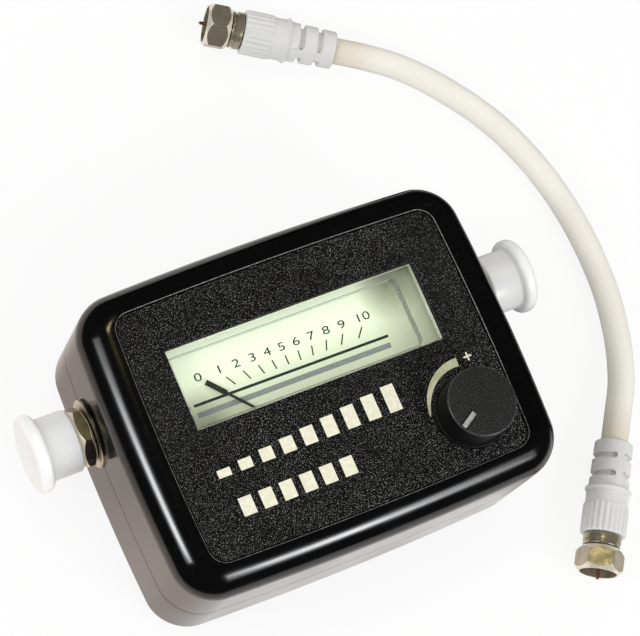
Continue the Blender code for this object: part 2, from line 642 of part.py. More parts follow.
def make_movement():
    pivot = (PIVOT_X, PIVOT_Y, 0.0)
    yoke_bottom = BASE_FLOOR + FIT_GAP
    yoke_top = yoke_bottom + YOKE_HEIGHT
    yoke_inner = YOKE_RADIUS - YOKE_WALL
    ring = [
        (YOKE_RADIUS, yoke_top), (YOKE_RADIUS, yoke_bottom), (yoke_inner, yoke_bottom), (yoke_inner, yoke_top)]
    yoke = turned("magnet_yoke", ring, STEEL)
    yoke.location = pivot
    arm_height = CORE_HEIGHT / 2
    core_middle = (yoke_bottom + yoke_top) / 2
    arm_inner = CORE_RADIUS + FIT_GAP
    arm_outer = YOKE_RADIUS - YOKE_WALL / 2
    for number, side in enumerate((-1, 1), 1):
        centre = (PIVOT_X + side * (arm_inner + arm_outer) / 2, PIVOT_Y, core_middle)
        fuse(yoke, box(f"yoke_arm_{number}", (arm_outer - arm_inner, YOKE_ARM_WIDTH, arm_height), centre))
    core_bottom = core_middle - CORE_HEIGHT / 2
    core_top = core_middle + CORE_HEIGHT / 2
    core = cylinder("core_magnet", CORE_RADIUS, core_bottom, core_top, (0.0, 0.0), MAGNET_GREY)
    core.location = pivot
    loop_gap = (yoke_inner - CORE_RADIUS - COIL_BAR) / 2
    loop_inner = CORE_RADIUS + loop_gap
    loop_outer = loop_inner + COIL_BAR
    loop_bottom = core_bottom - FIT_GAP - COIL_BAR
    loop_top = core_top + FIT_GAP + COIL_BAR
    coil_size = (COIL_WIDTH, 2 * loop_outer, loop_top - loop_bottom)
    coil = box("meter_coil", coil_size, (0.0, 0.0, core_middle), COPPER)
    coil.location = pivot
    spindle_top = needle_bottom() - FIT_GAP / 2
    spindle = cylinder("coil_spindle", SPINDLE_RADIUS, BASE_BOTTOM + FIT_GAP, spindle_top, sides=TINY_SIDES)
    spindle.location = pivot
    fuse(coil, spindle)
    loop_hollow_size = (2 * COIL_WIDTH, 2 * loop_inner, loop_top - loop_bottom - 2 * COIL_BAR)
    hollow = box("coil_hollow", loop_hollow_size, (0.0, 0.0, core_middle))
    hollow.location = pivot
    cut(coil, hollow)
    for item in (coil, hollow):
        item.rotation_euler = (0.0, 0.0, math.radians(NEEDLE_ZERO_DEG))
    bridge_bottom = yoke_top + FIT_GAP
    bridge_size = (2 * YOKE_RADIUS, BRIDGE_WIDTH, BRIDGE_THICKNESS)
    bridge = box("bearing_bridge", bridge_size, (PIVOT_X, PIVOT_Y, bridge_bottom + BRIDGE_THICKNESS / 2), BRASS)
    bearing = SPINDLE_RADIUS + RUNNING_GAP
    cut(bridge, cylinder("upper_bearing", bearing, yoke_top, METER_TOP, (PIVOT_X, PIVOT_Y), sides=TINY_SIDES))
    for number, (x, y) in enumerate(terminal_places(), 1):
        head_bottom = BASE_FLOOR + FIT_GAP
        head_top = head_bottom + TERMINAL_HEAD_HEIGHT
        foot = BOARD_TOP + FIT_GAP
        profile = [
            (0.0, head_top), (TERMINAL_HEAD_RADIUS, head_top), (TERMINAL_HEAD_RADIUS, head_bottom),
            (TERMINAL_RADIUS, head_bottom), (TERMINAL_RADIUS, foot), (0.0, foot)]
        terminal = turned(f"meter_terminal_{number}", profile, NICKEL, TINY_SIDES)
        terminal.location = (x, y, 0.0)


def needle_bottom():
    return DIAL_TOP + NEEDLE_LIFT


def make_needle():
    # The outline points along +Y and is turned to the zero mark.
    bottom = needle_bottom()
    shoulder = NEEDLE_LENGTH - NEEDLE_TIP_LENGTH
    half = NEEDLE_WIDTH / 2
    tip_half = NEEDLE_TIP_WIDTH / 2
    outline = [
        (-half, -NEEDLE_TAIL_LENGTH), (half, -NEEDLE_TAIL_LENGTH), (half, shoulder),
        (tip_half, shoulder + half), (tip_half, NEEDLE_LENGTH), (-tip_half, NEEDLE_LENGTH),
        (-tip_half, shoulder + half), (-half, shoulder)]
    needle = prism("needle", outline, bottom, bottom + NEEDLE_THICKNESS, BLACK_SATIN)
    hub = cylinder("needle_hub", NEEDLE_HUB_RADIUS, bottom, bottom + NEEDLE_THICKNESS * 2, sides=SMALL_SIDES)
    hub.location = (PIVOT_X, PIVOT_Y, 0.0)
    fuse(needle, hub)
    needle.location = (PIVOT_X, PIVOT_Y, 0.0)
    needle.rotation_euler = (0.0, 0.0, math.radians(NEEDLE_ZERO_DEG))
    return needle


def make_dial_lamp():
    bottom = BASE_FLOOR + FIT_GAP
    shoulder = bottom + LAMP_HEIGHT - LAMP_RADIUS
    profile = []
    for step in range(ROUNDING_STEPS):
        angle = math.pi / 2 * step / ROUNDING_STEPS
        profile.append((LAMP_RADIUS * math.sin(angle), shoulder + LAMP_RADIUS * math.cos(angle)))
    profile += [
        (LAMP_RADIUS, shoulder), (LAMP_RADIUS, bottom + LAMP_FLANGE_HEIGHT),
        (LAMP_FLANGE_RADIUS, bottom + LAMP_FLANGE_HEIGHT),
        (LAMP_FLANGE_RADIUS, bottom), (0.0, bottom)]
    lamp = turned("dial_lamp", profile, INSULATOR_WHITE, TINY_SIDES)
    lamp.location = (WINDOW_X, WINDOW_Y, 0.0)
    return lamp


# Control and knob
def knob_bottom():
    return PLATE_TOP + KNOB_FLOOR_GAP


def knob_top():
    return knob_bottom() + KNOB_HEIGHT


def make_control():
    place = (KNOB_X, KNOB_Y, 0.0)
    body_top = METER_TOP
    body_bottom = body_top - POT_HEIGHT
    nut_bottom = PLATE_TOP + POT_WASHER_HEIGHT + 2 * STACK_GAP
    nut_top = nut_bottom + POT_NUT_HEIGHT
    bore = SHAFT_RADIUS + RUNNING_GAP
    shaft_bottom = body_bottom + POT_BASE_WALL + FIT_GAP
    profile = [
        (0.0, nut_top), (BUSHING_RADIUS, nut_top), (BUSHING_RADIUS, body_top), (POT_RADIUS, body_top),
        (POT_RADIUS, body_bottom), (0.0, body_bottom)]
    pot = turned("gain_pot", profile, STEEL)
    pot.location = place
    lug_depth = POT_LUG_REACH + POT_LUG_THICKNESS
    lug_y = KNOB_Y - POT_RADIUS + POT_LUG_THICKNESS - lug_depth / 2
    lug_size = (POT_LUG_WIDTH, lug_depth, POT_LUG_THICKNESS)
    fuse(pot, box("pot_lugs", lug_size, (KNOB_X, lug_y, body_bottom + POT_LUG_THICKNESS)))
    bore_bottom = body_bottom + POT_BASE_WALL
    cut(pot, cylinder("pot_bore", bore, bore_bottom, nut_top + CUT_OVERRUN, (KNOB_X, KNOB_Y)))
    shaft_top = knob_top() - SHAFT_TOP_COVER - FIT_GAP
    shaft = cylinder("pot_shaft", SHAFT_RADIUS, shaft_bottom, shaft_top, (0.0, 0.0), STEEL, SMALL_SIDES)
    shaft.location = place
    washer_bottom = PLATE_TOP + STACK_GAP
    washer_top = washer_bottom + POT_WASHER_HEIGHT
    inner = BUSHING_RADIUS + BORE_CLEARANCE
    ring = [
        (POT_WASHER_RADIUS, washer_top), (POT_WASHER_RADIUS, washer_bottom), (inner, washer_bottom),
        (inner, washer_top)]
    washer = turned("pot_washer", ring, STEEL)
    washer.location = place
    nut = prism("pot_nut", hexagon(POT_NUT_FLATS), nut_bottom, nut_top, NICKEL)
    nut.location = place
    low, high = nut_bottom - CUT_OVERRUN, nut_top + CUT_OVERRUN
    cut(nut, cylinder("pot_nut_bore", inner, low, high, (KNOB_X, KNOB_Y)))


def make_pot_ribbon():
    # A flat cable folded down from the control's lugs and flat along the board's edge.
    lug_bottom = METER_TOP - POT_HEIGHT + POT_LUG_THICKNESS / 2
    top = lug_bottom - FIT_GAP
    foot = BOARD_TOP + FIT_GAP
    start_y = RIBBON_DROP_Y - RIBBON_BEND
    end_y = RIBBON_DROP_Y + RIBBON_FOOT_REACH
    middle = [
        (start_y, top), (start_y, top - RIBBON_BEND / 2), (RIBBON_DROP_Y, top - 2 * RIBBON_BEND),
        (RIBBON_DROP_Y, foot + RIBBON_BEND), (RIBBON_DROP_Y + RIBBON_BEND / 2, foot + RIBBON_THICKNESS / 2),
        (end_y, foot + RIBBON_THICKNESS / 2)]
    near, far = [], []
    for index, (y, z) in enumerate(middle):
        before = Vector(middle[max(index - 1, 0)])
        after = Vector(middle[min(index + 1, len(middle) - 1)])
        along = (after - before).normalized() * RIBBON_THICKNESS / 2
        near.append((y - along.y, z + along.x))
        far.append((y + along.y, z - along.x))
    ribbon = prism("pot_ribbon", near + far[::-1], -RIBBON_WIDTH / 2, RIBBON_WIDTH / 2, RIBBON_GREY)
    turn = Matrix(((0.0, 0.0, 1.0), (1.0, 0.0, 0.0), (0.0, 1.0, 0.0))).to_4x4()
    ribbon.matrix_world = Matrix.Translation((KNOB_X, 0.0, 0.0)) @ turn


def make_knob():
    bottom, top = knob_bottom(), knob_top()
    skirt_top = bottom + KNOB_SKIRT_HEIGHT
    recess_top = bottom + KNOB_RECESS_HEIGHT
    bore = SHAFT_RADIUS + BORE_CLEARANCE
    bore_top = top - SHAFT_TOP_COVER
    profile = [
        (0.0, top), (KNOB_RADIUS - KNOB_CHAMFER, top), (KNOB_RADIUS, top - KNOB_CHAMFER),
        (KNOB_RADIUS, skirt_top), (KNOB_SKIRT_RADIUS, skirt_top - KNOB_CHAMFER), (KNOB_SKIRT_RADIUS, bottom),
        (KNOB_RECESS_RADIUS, bottom), (KNOB_RECESS_RADIUS, recess_top), (bore, recess_top), (bore, bore_top),
        (0.0, bore_top)]
    knob = turned("knob", profile, BLACK_SATIN, FINE_SIDES)
    knob.location = (KNOB_X, KNOB_Y, 0.0)
    knob.rotation_euler = (0.0, 0.0, math.radians(KNOB_REST_DEG))
    rest = Matrix.Translation((KNOB_X, KNOB_Y, 0.0)) @ Matrix.Rotation(math.radians(KNOB_REST_DEG), 4, "Z")
    length = KNOB_RADIUS - KNOB_CHAMFER - POINTER_INNER_REACH
    middle = POINTER_INNER_REACH + length / 2
    pointer_bottom = top + POINTER_PROUD - POINTER_HEIGHT
    pointer = box(
        "knob_pointer", (length, POINTER_WIDTH, POINTER_HEIGHT),
        (middle, 0.0, pointer_bottom + POINTER_HEIGHT / 2), POINTER_GREY)
    pointer.matrix_world = rest
    groove_size = (length + 2 * FIT_GAP, POINTER_WIDTH + 2 * FIT_GAP, POINTER_HEIGHT + FIT_GAP)
    groove_middle = pointer_bottom + (POINTER_HEIGHT - FIT_GAP) / 2
    groove = box("pointer_groove", groove_size, (middle, 0.0, groove_middle))
    groove.matrix_world = rest
    cut(knob, groove)


# Circuit board
def make_board():
    size = (BOARD_LENGTH, BOARD_WIDTH, BOARD_THICKNESS)
    board = box("circuit_board", size, (0.0, 0.0, (BOARD_TOP + BOARD_BOTTOM) / 2), BOARD_GREEN)
    for number, place in enumerate(board_post_places(), 1):
        radius = BOARD_SCREW_RADIUS + BORE_CLEARANCE
        low, high = BOARD_BOTTOM - CUT_OVERRUN, BOARD_TOP + CUT_OVERRUN
        cut(board, cylinder(f"board_hole_{number}", radius, low, high, place, sides=TINY_SIDES))
    head_bottom = BOARD_TOP + FIT_GAP
    head_top = head_bottom + BOARD_SCREW_HEAD_HEIGHT
    tip = BOARD_TOP - BOARD_SCREW_LENGTH
    for number, (x, y) in enumerate(board_post_places(), 1):
        profile = [
            (0.0, head_top), (BOARD_SCREW_HEAD_RADIUS, head_top), (BOARD_SCREW_HEAD_RADIUS, head_bottom),
            (BOARD_SCREW_RADIUS, head_bottom), (BOARD_SCREW_RADIUS, tip), (0.0, tip)]
        screw = turned(f"board_screw_{number}", profile, STEEL, TINY_SIDES)
        screw.location = (x, y, 0.0)
    part_bottom = BOARD_TOP + FIT_GAP
    chip_centre = (CHIP_X, CHIP_Y, part_bottom + CHIP_HEIGHT / 2)
    box("amplifier_chip", (CHIP_LENGTH, CHIP_WIDTH, CHIP_HEIGHT), chip_centre, BLACK_SATIN)
    can_top = part_bottom + CAPACITOR_HEIGHT
    can = [
        (0.0, can_top), (CAPACITOR_RADIUS - CAPACITOR_BEVEL, can_top),
        (CAPACITOR_RADIUS, can_top - CAPACITOR_BEVEL), (CAPACITOR_RADIUS, part_bottom), (0.0, part_bottom)]
    capacitor = turned("supply_capacitor", can, STEEL, SMALL_SIDES)
    capacitor.location = (CAPACITOR_X, CAPACITOR_Y, 0.0)
    drum_top = part_bottom + CHOKE_HEIGHT
    waist_top = drum_top - CHOKE_FLANGE_HEIGHT
    waist_bottom = part_bottom + CHOKE_FLANGE_HEIGHT
    drum = [
        (0.0, drum_top), (CHOKE_RADIUS, drum_top), (CHOKE_RADIUS, waist_top), (CHOKE_WAIST_RADIUS, waist_top),
        (CHOKE_WAIST_RADIUS, waist_bottom), (CHOKE_RADIUS, waist_bottom), (CHOKE_RADIUS, part_bottom),
        (0.0, part_bottom)]
    choke = turned("pass_choke", drum, COPPER, SMALL_SIDES)
    choke.location = (CHOKE_X, CHOKE_Y, 0.0)


# F sockets and caps, built along +Z from the axis point level with the case's outer wall
def case_side_x():
    half_y = HALF_WIDTH - SIDE_CROWN
    return HALF_LENGTH - SIDE_CROWN * (SOCKET_Y / half_y) ** 2


def make_socket(label, side):
    centre = (side * case_side_x(), SOCKET_Y, PARTING_HEIGHT)
    inner = THREAD_RADIUS - SOCKET_WALL
    flange_top = -CASE_WALL - FIT_GAP
    flange_bottom = flange_top - SOCKET_FLANGE_THICKNESS
    mouth = SOCKET_REACH_OUT
    back = -SOCKET_REACH_IN
    chamfer = SOCKET_MOUTH_CHAMFER
    body_profile = [
        (THREAD_RADIUS - chamfer, mouth), (THREAD_RADIUS, mouth - chamfer), (THREAD_RADIUS, flange_top),
        (SOCKET_FLANGE_RADIUS, flange_top), (SOCKET_FLANGE_RADIUS, flange_bottom),
        (THREAD_RADIUS, flange_bottom), (THREAD_RADIUS, back), (inner, back), (inner, mouth)]
    along_x(turned(f"socket_body_{label}", body_profile, NICKEL), centre, side)
    outside = inner - FIT_GAP
    contact_way = CONTACT_RADIUS + FIT_GAP
    plug_top = mouth - INSULATOR_RECESS
    plug_bottom = plug_top - INSULATOR_LENGTH
    insulator_profile = [
        (outside, plug_top), (outside, plug_bottom), (contact_way, plug_bottom), (contact_way, plug_top)]
    along_x(turned(f"socket_insulator_{label}", insulator_profile, INSULATOR_WHITE, SMALL_SIDES), centre, side)
    contact_top = mouth - CONTACT_RECESS
    contact_bottom = back - CONTACT_REACH
    contact = cylinder(
        f"socket_contact_{label}", CONTACT_RADIUS, contact_bottom, contact_top, (0.0, 0.0), BRASS, TINY_SIDES)
    along_x(contact, centre, side)
    bore = THREAD_RADIUS + BORE_CLEARANCE
    washer_bottom = STACK_GAP
    washer_top = washer_bottom + WASHER_THICKNESS
    washer_profile = [
        (WASHER_RADIUS, washer_top), (WASHER_RADIUS, washer_bottom), (bore, washer_bottom), (bore, washer_top)]
    along_x(turned(f"socket_washer_{label}", washer_profile, NICKEL), centre, side)
    nut_bottom = washer_top + STACK_GAP
    nut_top = nut_bottom + SOCKET_NUT_THICKNESS
    outline = hexagon(SOCKET_NUT_FLATS, SOCKET_NUT_TURN_DEG)
    nut = prism(f"socket_nut_{label}", outline, nut_bottom, nut_top, NICKEL)
    nut_bore = cylinder(f"socket_nut_bore_{label}", bore, nut_bottom - CUT_OVERRUN, nut_top + CUT_OVERRUN)
    cut(along_x(nut, centre, side), along_x(nut_bore, centre, side))
    make_dust_cap(label, side, centre, nut_top + FIT_GAP)


def make_dust_cap(label, side, centre, mouth):
    end = mouth + CAP_LENGTH
    inner_end = end - CAP_END_WALL
    bore = THREAD_RADIUS + BORE_CLEARANCE
    sleeve = bore + CAP_SLEEVE_WALL
    skirt = CAP_RADIUS - CAP_SKIRT_WALL
    flange_low = end - CAP_FLANGE_THICKNESS
    profile = [(0.0, end)]
    for step in range(CAP_ROUNDING_STEPS + 1):
        angle = math.pi / 2 * step / CAP_ROUNDING_STEPS
        reach = CAP_FLANGE_RADIUS - CAP_ROUNDING * (1 - math.sin(angle))
        profile.append((reach, end - CAP_ROUNDING * (1 - math.cos(angle))))
    for step in range(CAP_ROUNDING_STEPS + 1):
        angle = math.pi / 2 * step / CAP_ROUNDING_STEPS
        reach = CAP_FLANGE_RADIUS - CAP_ROUNDING * (1 - math.cos(angle))
        profile.append((reach, flange_low + CAP_ROUNDING * (1 - math.sin(angle))))
    profile += [
        (CAP_RADIUS, flange_low), (CAP_RADIUS, mouth), (skirt, mouth), (skirt, flange_low),
        (sleeve, flange_low), (sleeve, mouth + CAP_SLEEVE_RECESS), (bore, mouth + CAP_SLEEVE_RECESS),
        (bore, inner_end), (0.0, inner_end)]
    cap = turned(f"dust_cap_{label}", profile, CAP_MILKY)
    return along_x(cap, centre, side)


# Loose lead. Each plug is built along +Z from the tip of its pin to its cable.
def plug_frame(tip, heading_deg):
    heading = math.radians(heading_deg)
    forward = Vector((math.cos(heading), math.sin(heading), 0.0))
    up = Vector((0.0, 0.0, 1.0))
    across = up.cross(forward)
    frame = Matrix((across, up, forward)).transposed().to_4x4()
    frame.translation = (tip[0], tip[1], LEAD_AXIS_HEIGHT)
    return frame


def boot_start():
    return PIN_PROUD + PLUG_NUT_LENGTH + FIT_GAP + PLUG_COLLAR_LENGTH + FIT_GAP


def boot_end():
    return boot_start() + BOOT_GRIP_LENGTH + BOOT_NECK_LENGTH + BOOT_RING_LENGTH + RELIEF_LENGTH


def make_plug(label, tip, heading_deg, nut_roll_deg, spine_deg):
    axis = bpy.data.objects.new(f"plug_{label}_axis", None)
    PARTS.objects.link(axis)
    axis.matrix_world = plug_frame(tip, heading_deg)
    pieces = [
        plug_nut(label, nut_roll_deg), plug_body(label), plug_pin(label), plug_boot(label, spine_deg)]
    for piece, tools in pieces:
        for item in [piece] + tools:
            item.parent = axis


def plug_nut(label, roll_deg):
    front = PIN_PROUD
    back = front + PLUG_NUT_LENGTH
    nut = prism(f"plug_nut_{label}", hexagon(PLUG_NUT_FLATS, roll_deg), front, back, NICKEL)
    thread_end = back - PLUG_NUT_LIP
    low = front - CUT_OVERRUN
    bore = cylinder(f"plug_nut_bore_{label}", PLUG_NUT_BORE_RADIUS, low, thread_end, sides=SMALL_SIDES)
    lip_radius = PLUG_NECK_RADIUS + BORE_CLEARANCE
    lip = cylinder(f"plug_nut_lip_{label}", lip_radius, front, back + CUT_OVERRUN, sides=SMALL_SIDES)
    cut(nut, bore)
    cut(nut, lip)
    return nut, [bore, lip]


def plug_body(label):
    nut_back = PIN_PROUD + PLUG_NUT_LENGTH
    flange_back = nut_back - PLUG_NUT_LIP - FIT_GAP
    flange_front = flange_back - PLUG_FLANGE_THICKNESS
    collar_front = nut_back + FIT_GAP
    collar_back = collar_front + PLUG_COLLAR_LENGTH
    ferrule_back = collar_back + FERRULE_LENGTH
    bevel = PLUG_COLLAR_BEVEL
    pin_way = PIN_RADIUS + FIT_GAP
    seat = flange_front + PIN_SEAT_DEPTH
    profile = [
        (0.0, ferrule_back), (FERRULE_RADIUS, ferrule_back), (FERRULE_RADIUS, collar_back),
        (PLUG_COLLAR_RADIUS - bevel, collar_back), (PLUG_COLLAR_RADIUS, collar_back - bevel),
        (PLUG_COLLAR_RADIUS, collar_front + bevel), (PLUG_COLLAR_RADIUS - bevel, collar_front),
        (PLUG_NECK_RADIUS, collar_front), (PLUG_NECK_RADIUS, flange_back), (PLUG_FLANGE_RADIUS, flange_back),
        (PLUG_FLANGE_RADIUS, flange_front), (pin_way, flange_front), (pin_way, seat), (0.0, seat)]
    return turned(f"plug_body_{label}", profile, NICKEL, SMALL_SIDES), []


def plug_pin(label):
    flange_back = PIN_PROUD + PLUG_NUT_LENGTH - PLUG_NUT_LIP - FIT_GAP
    end = flange_back - PLUG_FLANGE_THICKNESS + PIN_SEAT_DEPTH - FIT_GAP
    return cylinder(f"plug_pin_{label}", PIN_RADIUS, 0.0, end, (0.0, 0.0), COPPER, TINY_SIDES), []


def ribbed_outline(radius, depth, count):
    # Each rib rises, runs level and falls back to the groove.
    outline = []
    reaches = (radius - depth, radius, radius, radius - depth)
    for rib in range(count):
        for share, reach in zip(RIB_SHARES, reaches):
            angle = math.tau / count * (rib + share)
            outline.append((reach * math.cos(angle), reach * math.sin(angle)))
    return outline


def relief_slot(name, bottom, spine_deg):
    # Half a ring round the core, left open at the spine on each side of it.
    first = spine_deg + RELIEF_SPINE_DEG / 2
    sweep = 180.0 - RELIEF_SPINE_DEG
    angles = [math.radians(first + sweep * step / RELIEF_SLOT_STEPS) for step in range(RELIEF_SLOT_STEPS + 1)]
    outer = RELIEF_RADIUS + CUT_OVERRUN
    outline = [(outer * math.cos(angle), outer * math.sin(angle)) for angle in angles]
    for angle in reversed(angles):
        outline.append((RELIEF_CORE_RADIUS * math.cos(angle), RELIEF_CORE_RADIUS * math.sin(angle)))
    return prism(name, outline, bottom, bottom + RELIEF_SLOT_LENGTH)


def plug_boot(label, spine_deg):
    start = boot_start()
    grip_end = start + BOOT_GRIP_LENGTH
    neck_end = grip_end + BOOT_NECK_LENGTH
    ring_end = neck_end + BOOT_RING_LENGTH
    end = boot_end()
    outline = ribbed_outline(BOOT_GRIP_RADIUS, BOOT_RIB_DEPTH, BOOT_RIB_COUNT)
    boot = prism(f"lead_boot_{label}", outline, start, grip_end, BOOT_WHITE)
    inside = grip_end - BOOT_NECK_LENGTH / 2
    tail = turned(f"boot_tail_{label}", [
        (0.0, end), (RELIEF_END_RADIUS, end), (RELIEF_RADIUS, ring_end), (BOOT_RING_RADIUS, ring_end),
        (BOOT_RING_RADIUS, neck_end), (BOOT_NECK_RADIUS, neck_end), (BOOT_NECK_RADIUS, grip_end),
        (BOOT_NECK_RADIUS - BOOT_RIB_DEPTH, inside), (0.0, inside)])
    fuse(boot, tail)
    bore_radius = FERRULE_RADIUS + FIT_GAP
    bore_end = start + FERRULE_LENGTH
    bore = cylinder(f"boot_bore_{label}", bore_radius, start - CUT_OVERRUN, bore_end, sides=SMALL_SIDES)
    cut(boot, bore)
    tools = [tail, bore]
    for number in range(RELIEF_SLOT_COUNT):
        slot_start = ring_end + RELIEF_SLOT_FIRST + number * RELIEF_SLOT_PITCH
        for side, turn in (("near", 0.0), ("far", 180.0)):
            slot = relief_slot(f"relief_slot_{label}_{number}_{side}", slot_start, spine_deg + turn)
            cut(boot, slot)
            tools.append(slot)
    return boot, tools


def smooth_route(points, count):
    # A smooth curve through the points, read at even steps of its length.
    fine = []
    for index in range(len(points) - 1):
        before = points[max(index - 1, 0)]
        first, last = points[index], points[index + 1]
        after = points[min(index + 2, len(points) - 1)]
        reach = (last - first).length / 3
        leave = (last - before).normalized() * reach
        arrive = (after - first).normalized() * reach
        fine += interpolate_bezier(first, first + leave, last - arrive, last, CURVE_STEPS)[:-1]
    fine.append(points[-1])
    travelled = [0.0]
    for first, last in zip(fine[:-1], fine[1:]):
        travelled.append(travelled[-1] + (last - first).length)
    route = []
    index = 0
    for step in range(count):
        target = travelled[-1] * step / (count - 1)
        while index < len(fine) - 2 and travelled[index + 1] < target:
            index += 1
        share = (target - travelled[index]) / (travelled[index + 1] - travelled[index])
        route.append(fine[index].lerp(fine[index + 1], share))
    return route


def lead_route():
    start = plug_frame(PLUG_A_TIP, PLUG_A_DEG)
    finish = plug_frame(PLUG_B_TIP, PLUG_B_DEG)
    exit_a = start @ Vector((0.0, 0.0, boot_end() + FIT_GAP))
    straight_a = start @ Vector((0.0, 0.0, boot_end() + FIT_GAP + CABLE_STRAIGHT))
    exit_b = finish @ Vector((0.0, 0.0, boot_end() + FIT_GAP))
    straight_b = finish @ Vector((0.0, 0.0, boot_end() + FIT_GAP + CABLE_STRAIGHT))
    floor = CABLE_RADIUS + FIT_GAP
    resting = [Vector((x, y, floor + lift)) for x, y, lift in CABLE_ROUTE]
    return [exit_a, straight_a] + resting + [straight_b, exit_b]


def make_cable():
    curve = bpy.data.curves.new("lead_cable", "CURVE")
    curve.dimensions = "3D"
    curve.bevel_depth = CABLE_RADIUS
    curve.bevel_resolution = CABLE_BEVEL_STEPS
    curve.render_resolution_u = 0
    curve.use_fill_caps = True
    points = smooth_route(lead_route(), CABLE_POINTS)
    spline = curve.splines.new("POLY")
    spline.points.add(len(points) - 1)
    for slot, point in zip(spline.points, points):
        slot.co = (*point, 1.0)
    curve.materials.append(CABLE_IVORY)
    cable = bpy.data.objects.new("lead_cable", curve)
    PARTS.objects.link(cable)
    return cable


make_front_case()
make_back_case()
make_face_plate()
make_case_screws()
make_meter_cover()
make_dial_plate()
make_meter_base()
make_movement()
make_needle()
make_dial_lamp()
make_control()
make_pot_ribbon()
make_knob()
make_board()
make_socket("left", -1)
make_socket("right", 1)
make_plug("a", PLUG_A_TIP, PLUG_A_DEG, PLUG_A_NUT_ROLL, PLUG_A_SPINE_DEG)
make_plug("b", PLUG_B_TIP, PLUG_B_DEG, PLUG_B_NUT_ROLL, PLUG_B_SPINE_DEG)
make_cable()
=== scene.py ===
import json
import math

import bmesh
import bpy
from mathutils import Matrix, Vector
from mathutils.geometry import interpolate_bezier


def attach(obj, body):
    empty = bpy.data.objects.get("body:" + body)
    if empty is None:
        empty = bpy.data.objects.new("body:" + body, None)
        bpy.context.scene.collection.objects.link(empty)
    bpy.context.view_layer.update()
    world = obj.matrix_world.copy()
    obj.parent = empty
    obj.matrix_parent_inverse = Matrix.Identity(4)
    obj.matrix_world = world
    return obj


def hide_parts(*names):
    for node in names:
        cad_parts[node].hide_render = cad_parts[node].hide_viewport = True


# The finish and the fine forms of a satellite signal meter with its loose jumper lead.
# Metres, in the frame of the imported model: +Z out of the face, +Y towards the window.
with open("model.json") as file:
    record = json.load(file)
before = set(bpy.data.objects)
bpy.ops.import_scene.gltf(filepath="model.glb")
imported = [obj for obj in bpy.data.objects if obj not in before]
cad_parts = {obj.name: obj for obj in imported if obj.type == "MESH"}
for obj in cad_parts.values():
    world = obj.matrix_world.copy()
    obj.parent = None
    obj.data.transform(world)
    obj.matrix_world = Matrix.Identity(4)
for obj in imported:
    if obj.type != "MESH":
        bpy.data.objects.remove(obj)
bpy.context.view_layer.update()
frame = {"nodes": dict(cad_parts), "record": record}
scene = bpy.context.scene
scene.view_settings.view_transform = "Standard"


# Camera, set up from the photograph
photoCamera = {
    "place": (-0.19643, -0.09607, 0.61179), "turnDeg": (17.46032, -13.74039, -24.12800),
    "view": {
        "lens": 142.155, "sensor_fit": "HORIZONTAL", "sensor_width": 36.0, "clip_start": 0.01,
        "clip_end": 20.0},
}


def configure(thing, **settings):
    for name, value in settings.items():
        setattr(thing, name, value)
    return thing


def addObject(name, data):
    item = bpy.data.objects.new(name, data)
    scene.collection.objects.link(item)
    return item


def makeCamera():
    data = configure(bpy.data.cameras.new("photoCamera"), **photoCamera["view"])
    scene.camera = configure(
        addObject("photoCamera", data), location=photoCamera["place"],
        rotation_euler=[math.radians(angle) for angle in photoCamera["turnDeg"]])


makeCamera()
print("camera set")


# Every finish is kept under its name
finishes = {}


class Nodes:
    # Adds nodes to a tree. An input given as a socket is linked, any other is set.
    def __init__(self, tree):
        self.tree = tree

    def feed(self, node, inputs):
        for name, value in inputs.items():
            socket = node.inputs[name]
            if isinstance(value, bpy.types.NodeSocket):
                self.tree.links.new(value, socket)
            else:
                socket.default_value = (*value, 1.0) if socket.type == "RGBA" else value
        return node

    def add(self, kind, inputs=None, **settings):
        return self.feed(configure(self.tree.nodes.new("ShaderNode" + kind), **settings), inputs or {})

    def maths(self, operation, first, second):
        return self.add("Math", {0: first, 1: second}, operation=operation).outputs[0]

    def vector(self, operation, first, second, output="Vector"):
        return self.add("VectorMath", {0: first, 1: second}, operation=operation).outputs[output]

    def axes(self, vector):
        return self.add("SeparateXYZ", {0: vector}).outputs

    def spread(self, value, low, high, fromLow=0.0, fromHigh=1.0, **settings):
        return self.add("MapRange", {
            "Value": value, "From Min": fromLow, "From Max": fromHigh, "To Min": low, "To Max": high,
        }, **settings).outputs["Result"]

    def between(self, share, first, second):
        return self.add("Mix", {0: share, 2: first, 3: second}, data_type="FLOAT").outputs[0]

    def blend(self, share, first, second):
        return self.add("Mix", {0: share, 6: first, 7: second}, data_type="RGBA").outputs[2]

    def noise(self, vector, scale, detail, rough=0.5):
        return self.add("TexNoise", {
            "Vector": vector, "Scale": scale, "Detail": detail, "Roughness": rough}).outputs["Fac"]


def newGroup(name, values, outputs):
    group = bpy.data.node_groups.new(name, "ShaderNodeTree")
    group.interface.new_socket("Vector", in_out="INPUT", socket_type="NodeSocketVector")
    for socket, value in values.items():
        made = group.interface.new_socket(socket, in_out="INPUT", socket_type="NodeSocketFloat")
        made.default_value = value
    for socket in outputs:
        group.interface.new_socket(socket, in_out="OUTPUT", socket_type="NodeSocketFloat")
    enter, leave = group.nodes.new("NodeGroupInput"), group.nodes.new("NodeGroupOutput")
    return group, Nodes(group), enter.outputs, leave


def grainGroup():
    # Fine moulded grain: a height, and a mask of its brightest grains
    group, nodes, enter, leave = newGroup("surfaceGrain", {"Scale": 2000.0, "Cut": 0.6}, ("Height", "Mask"))
    height = nodes.noise(enter["Vector"], enter["Scale"], 1.5, 0.6)
    edge = nodes.maths("ADD", enter["Cut"], 0.16)
    mask = nodes.spread(height, 0.0, 1.0, enter["Cut"], edge, interpolation_type="SMOOTHSTEP")
    nodes.feed(leave, {"Height": height, "Mask": mask})
    return group


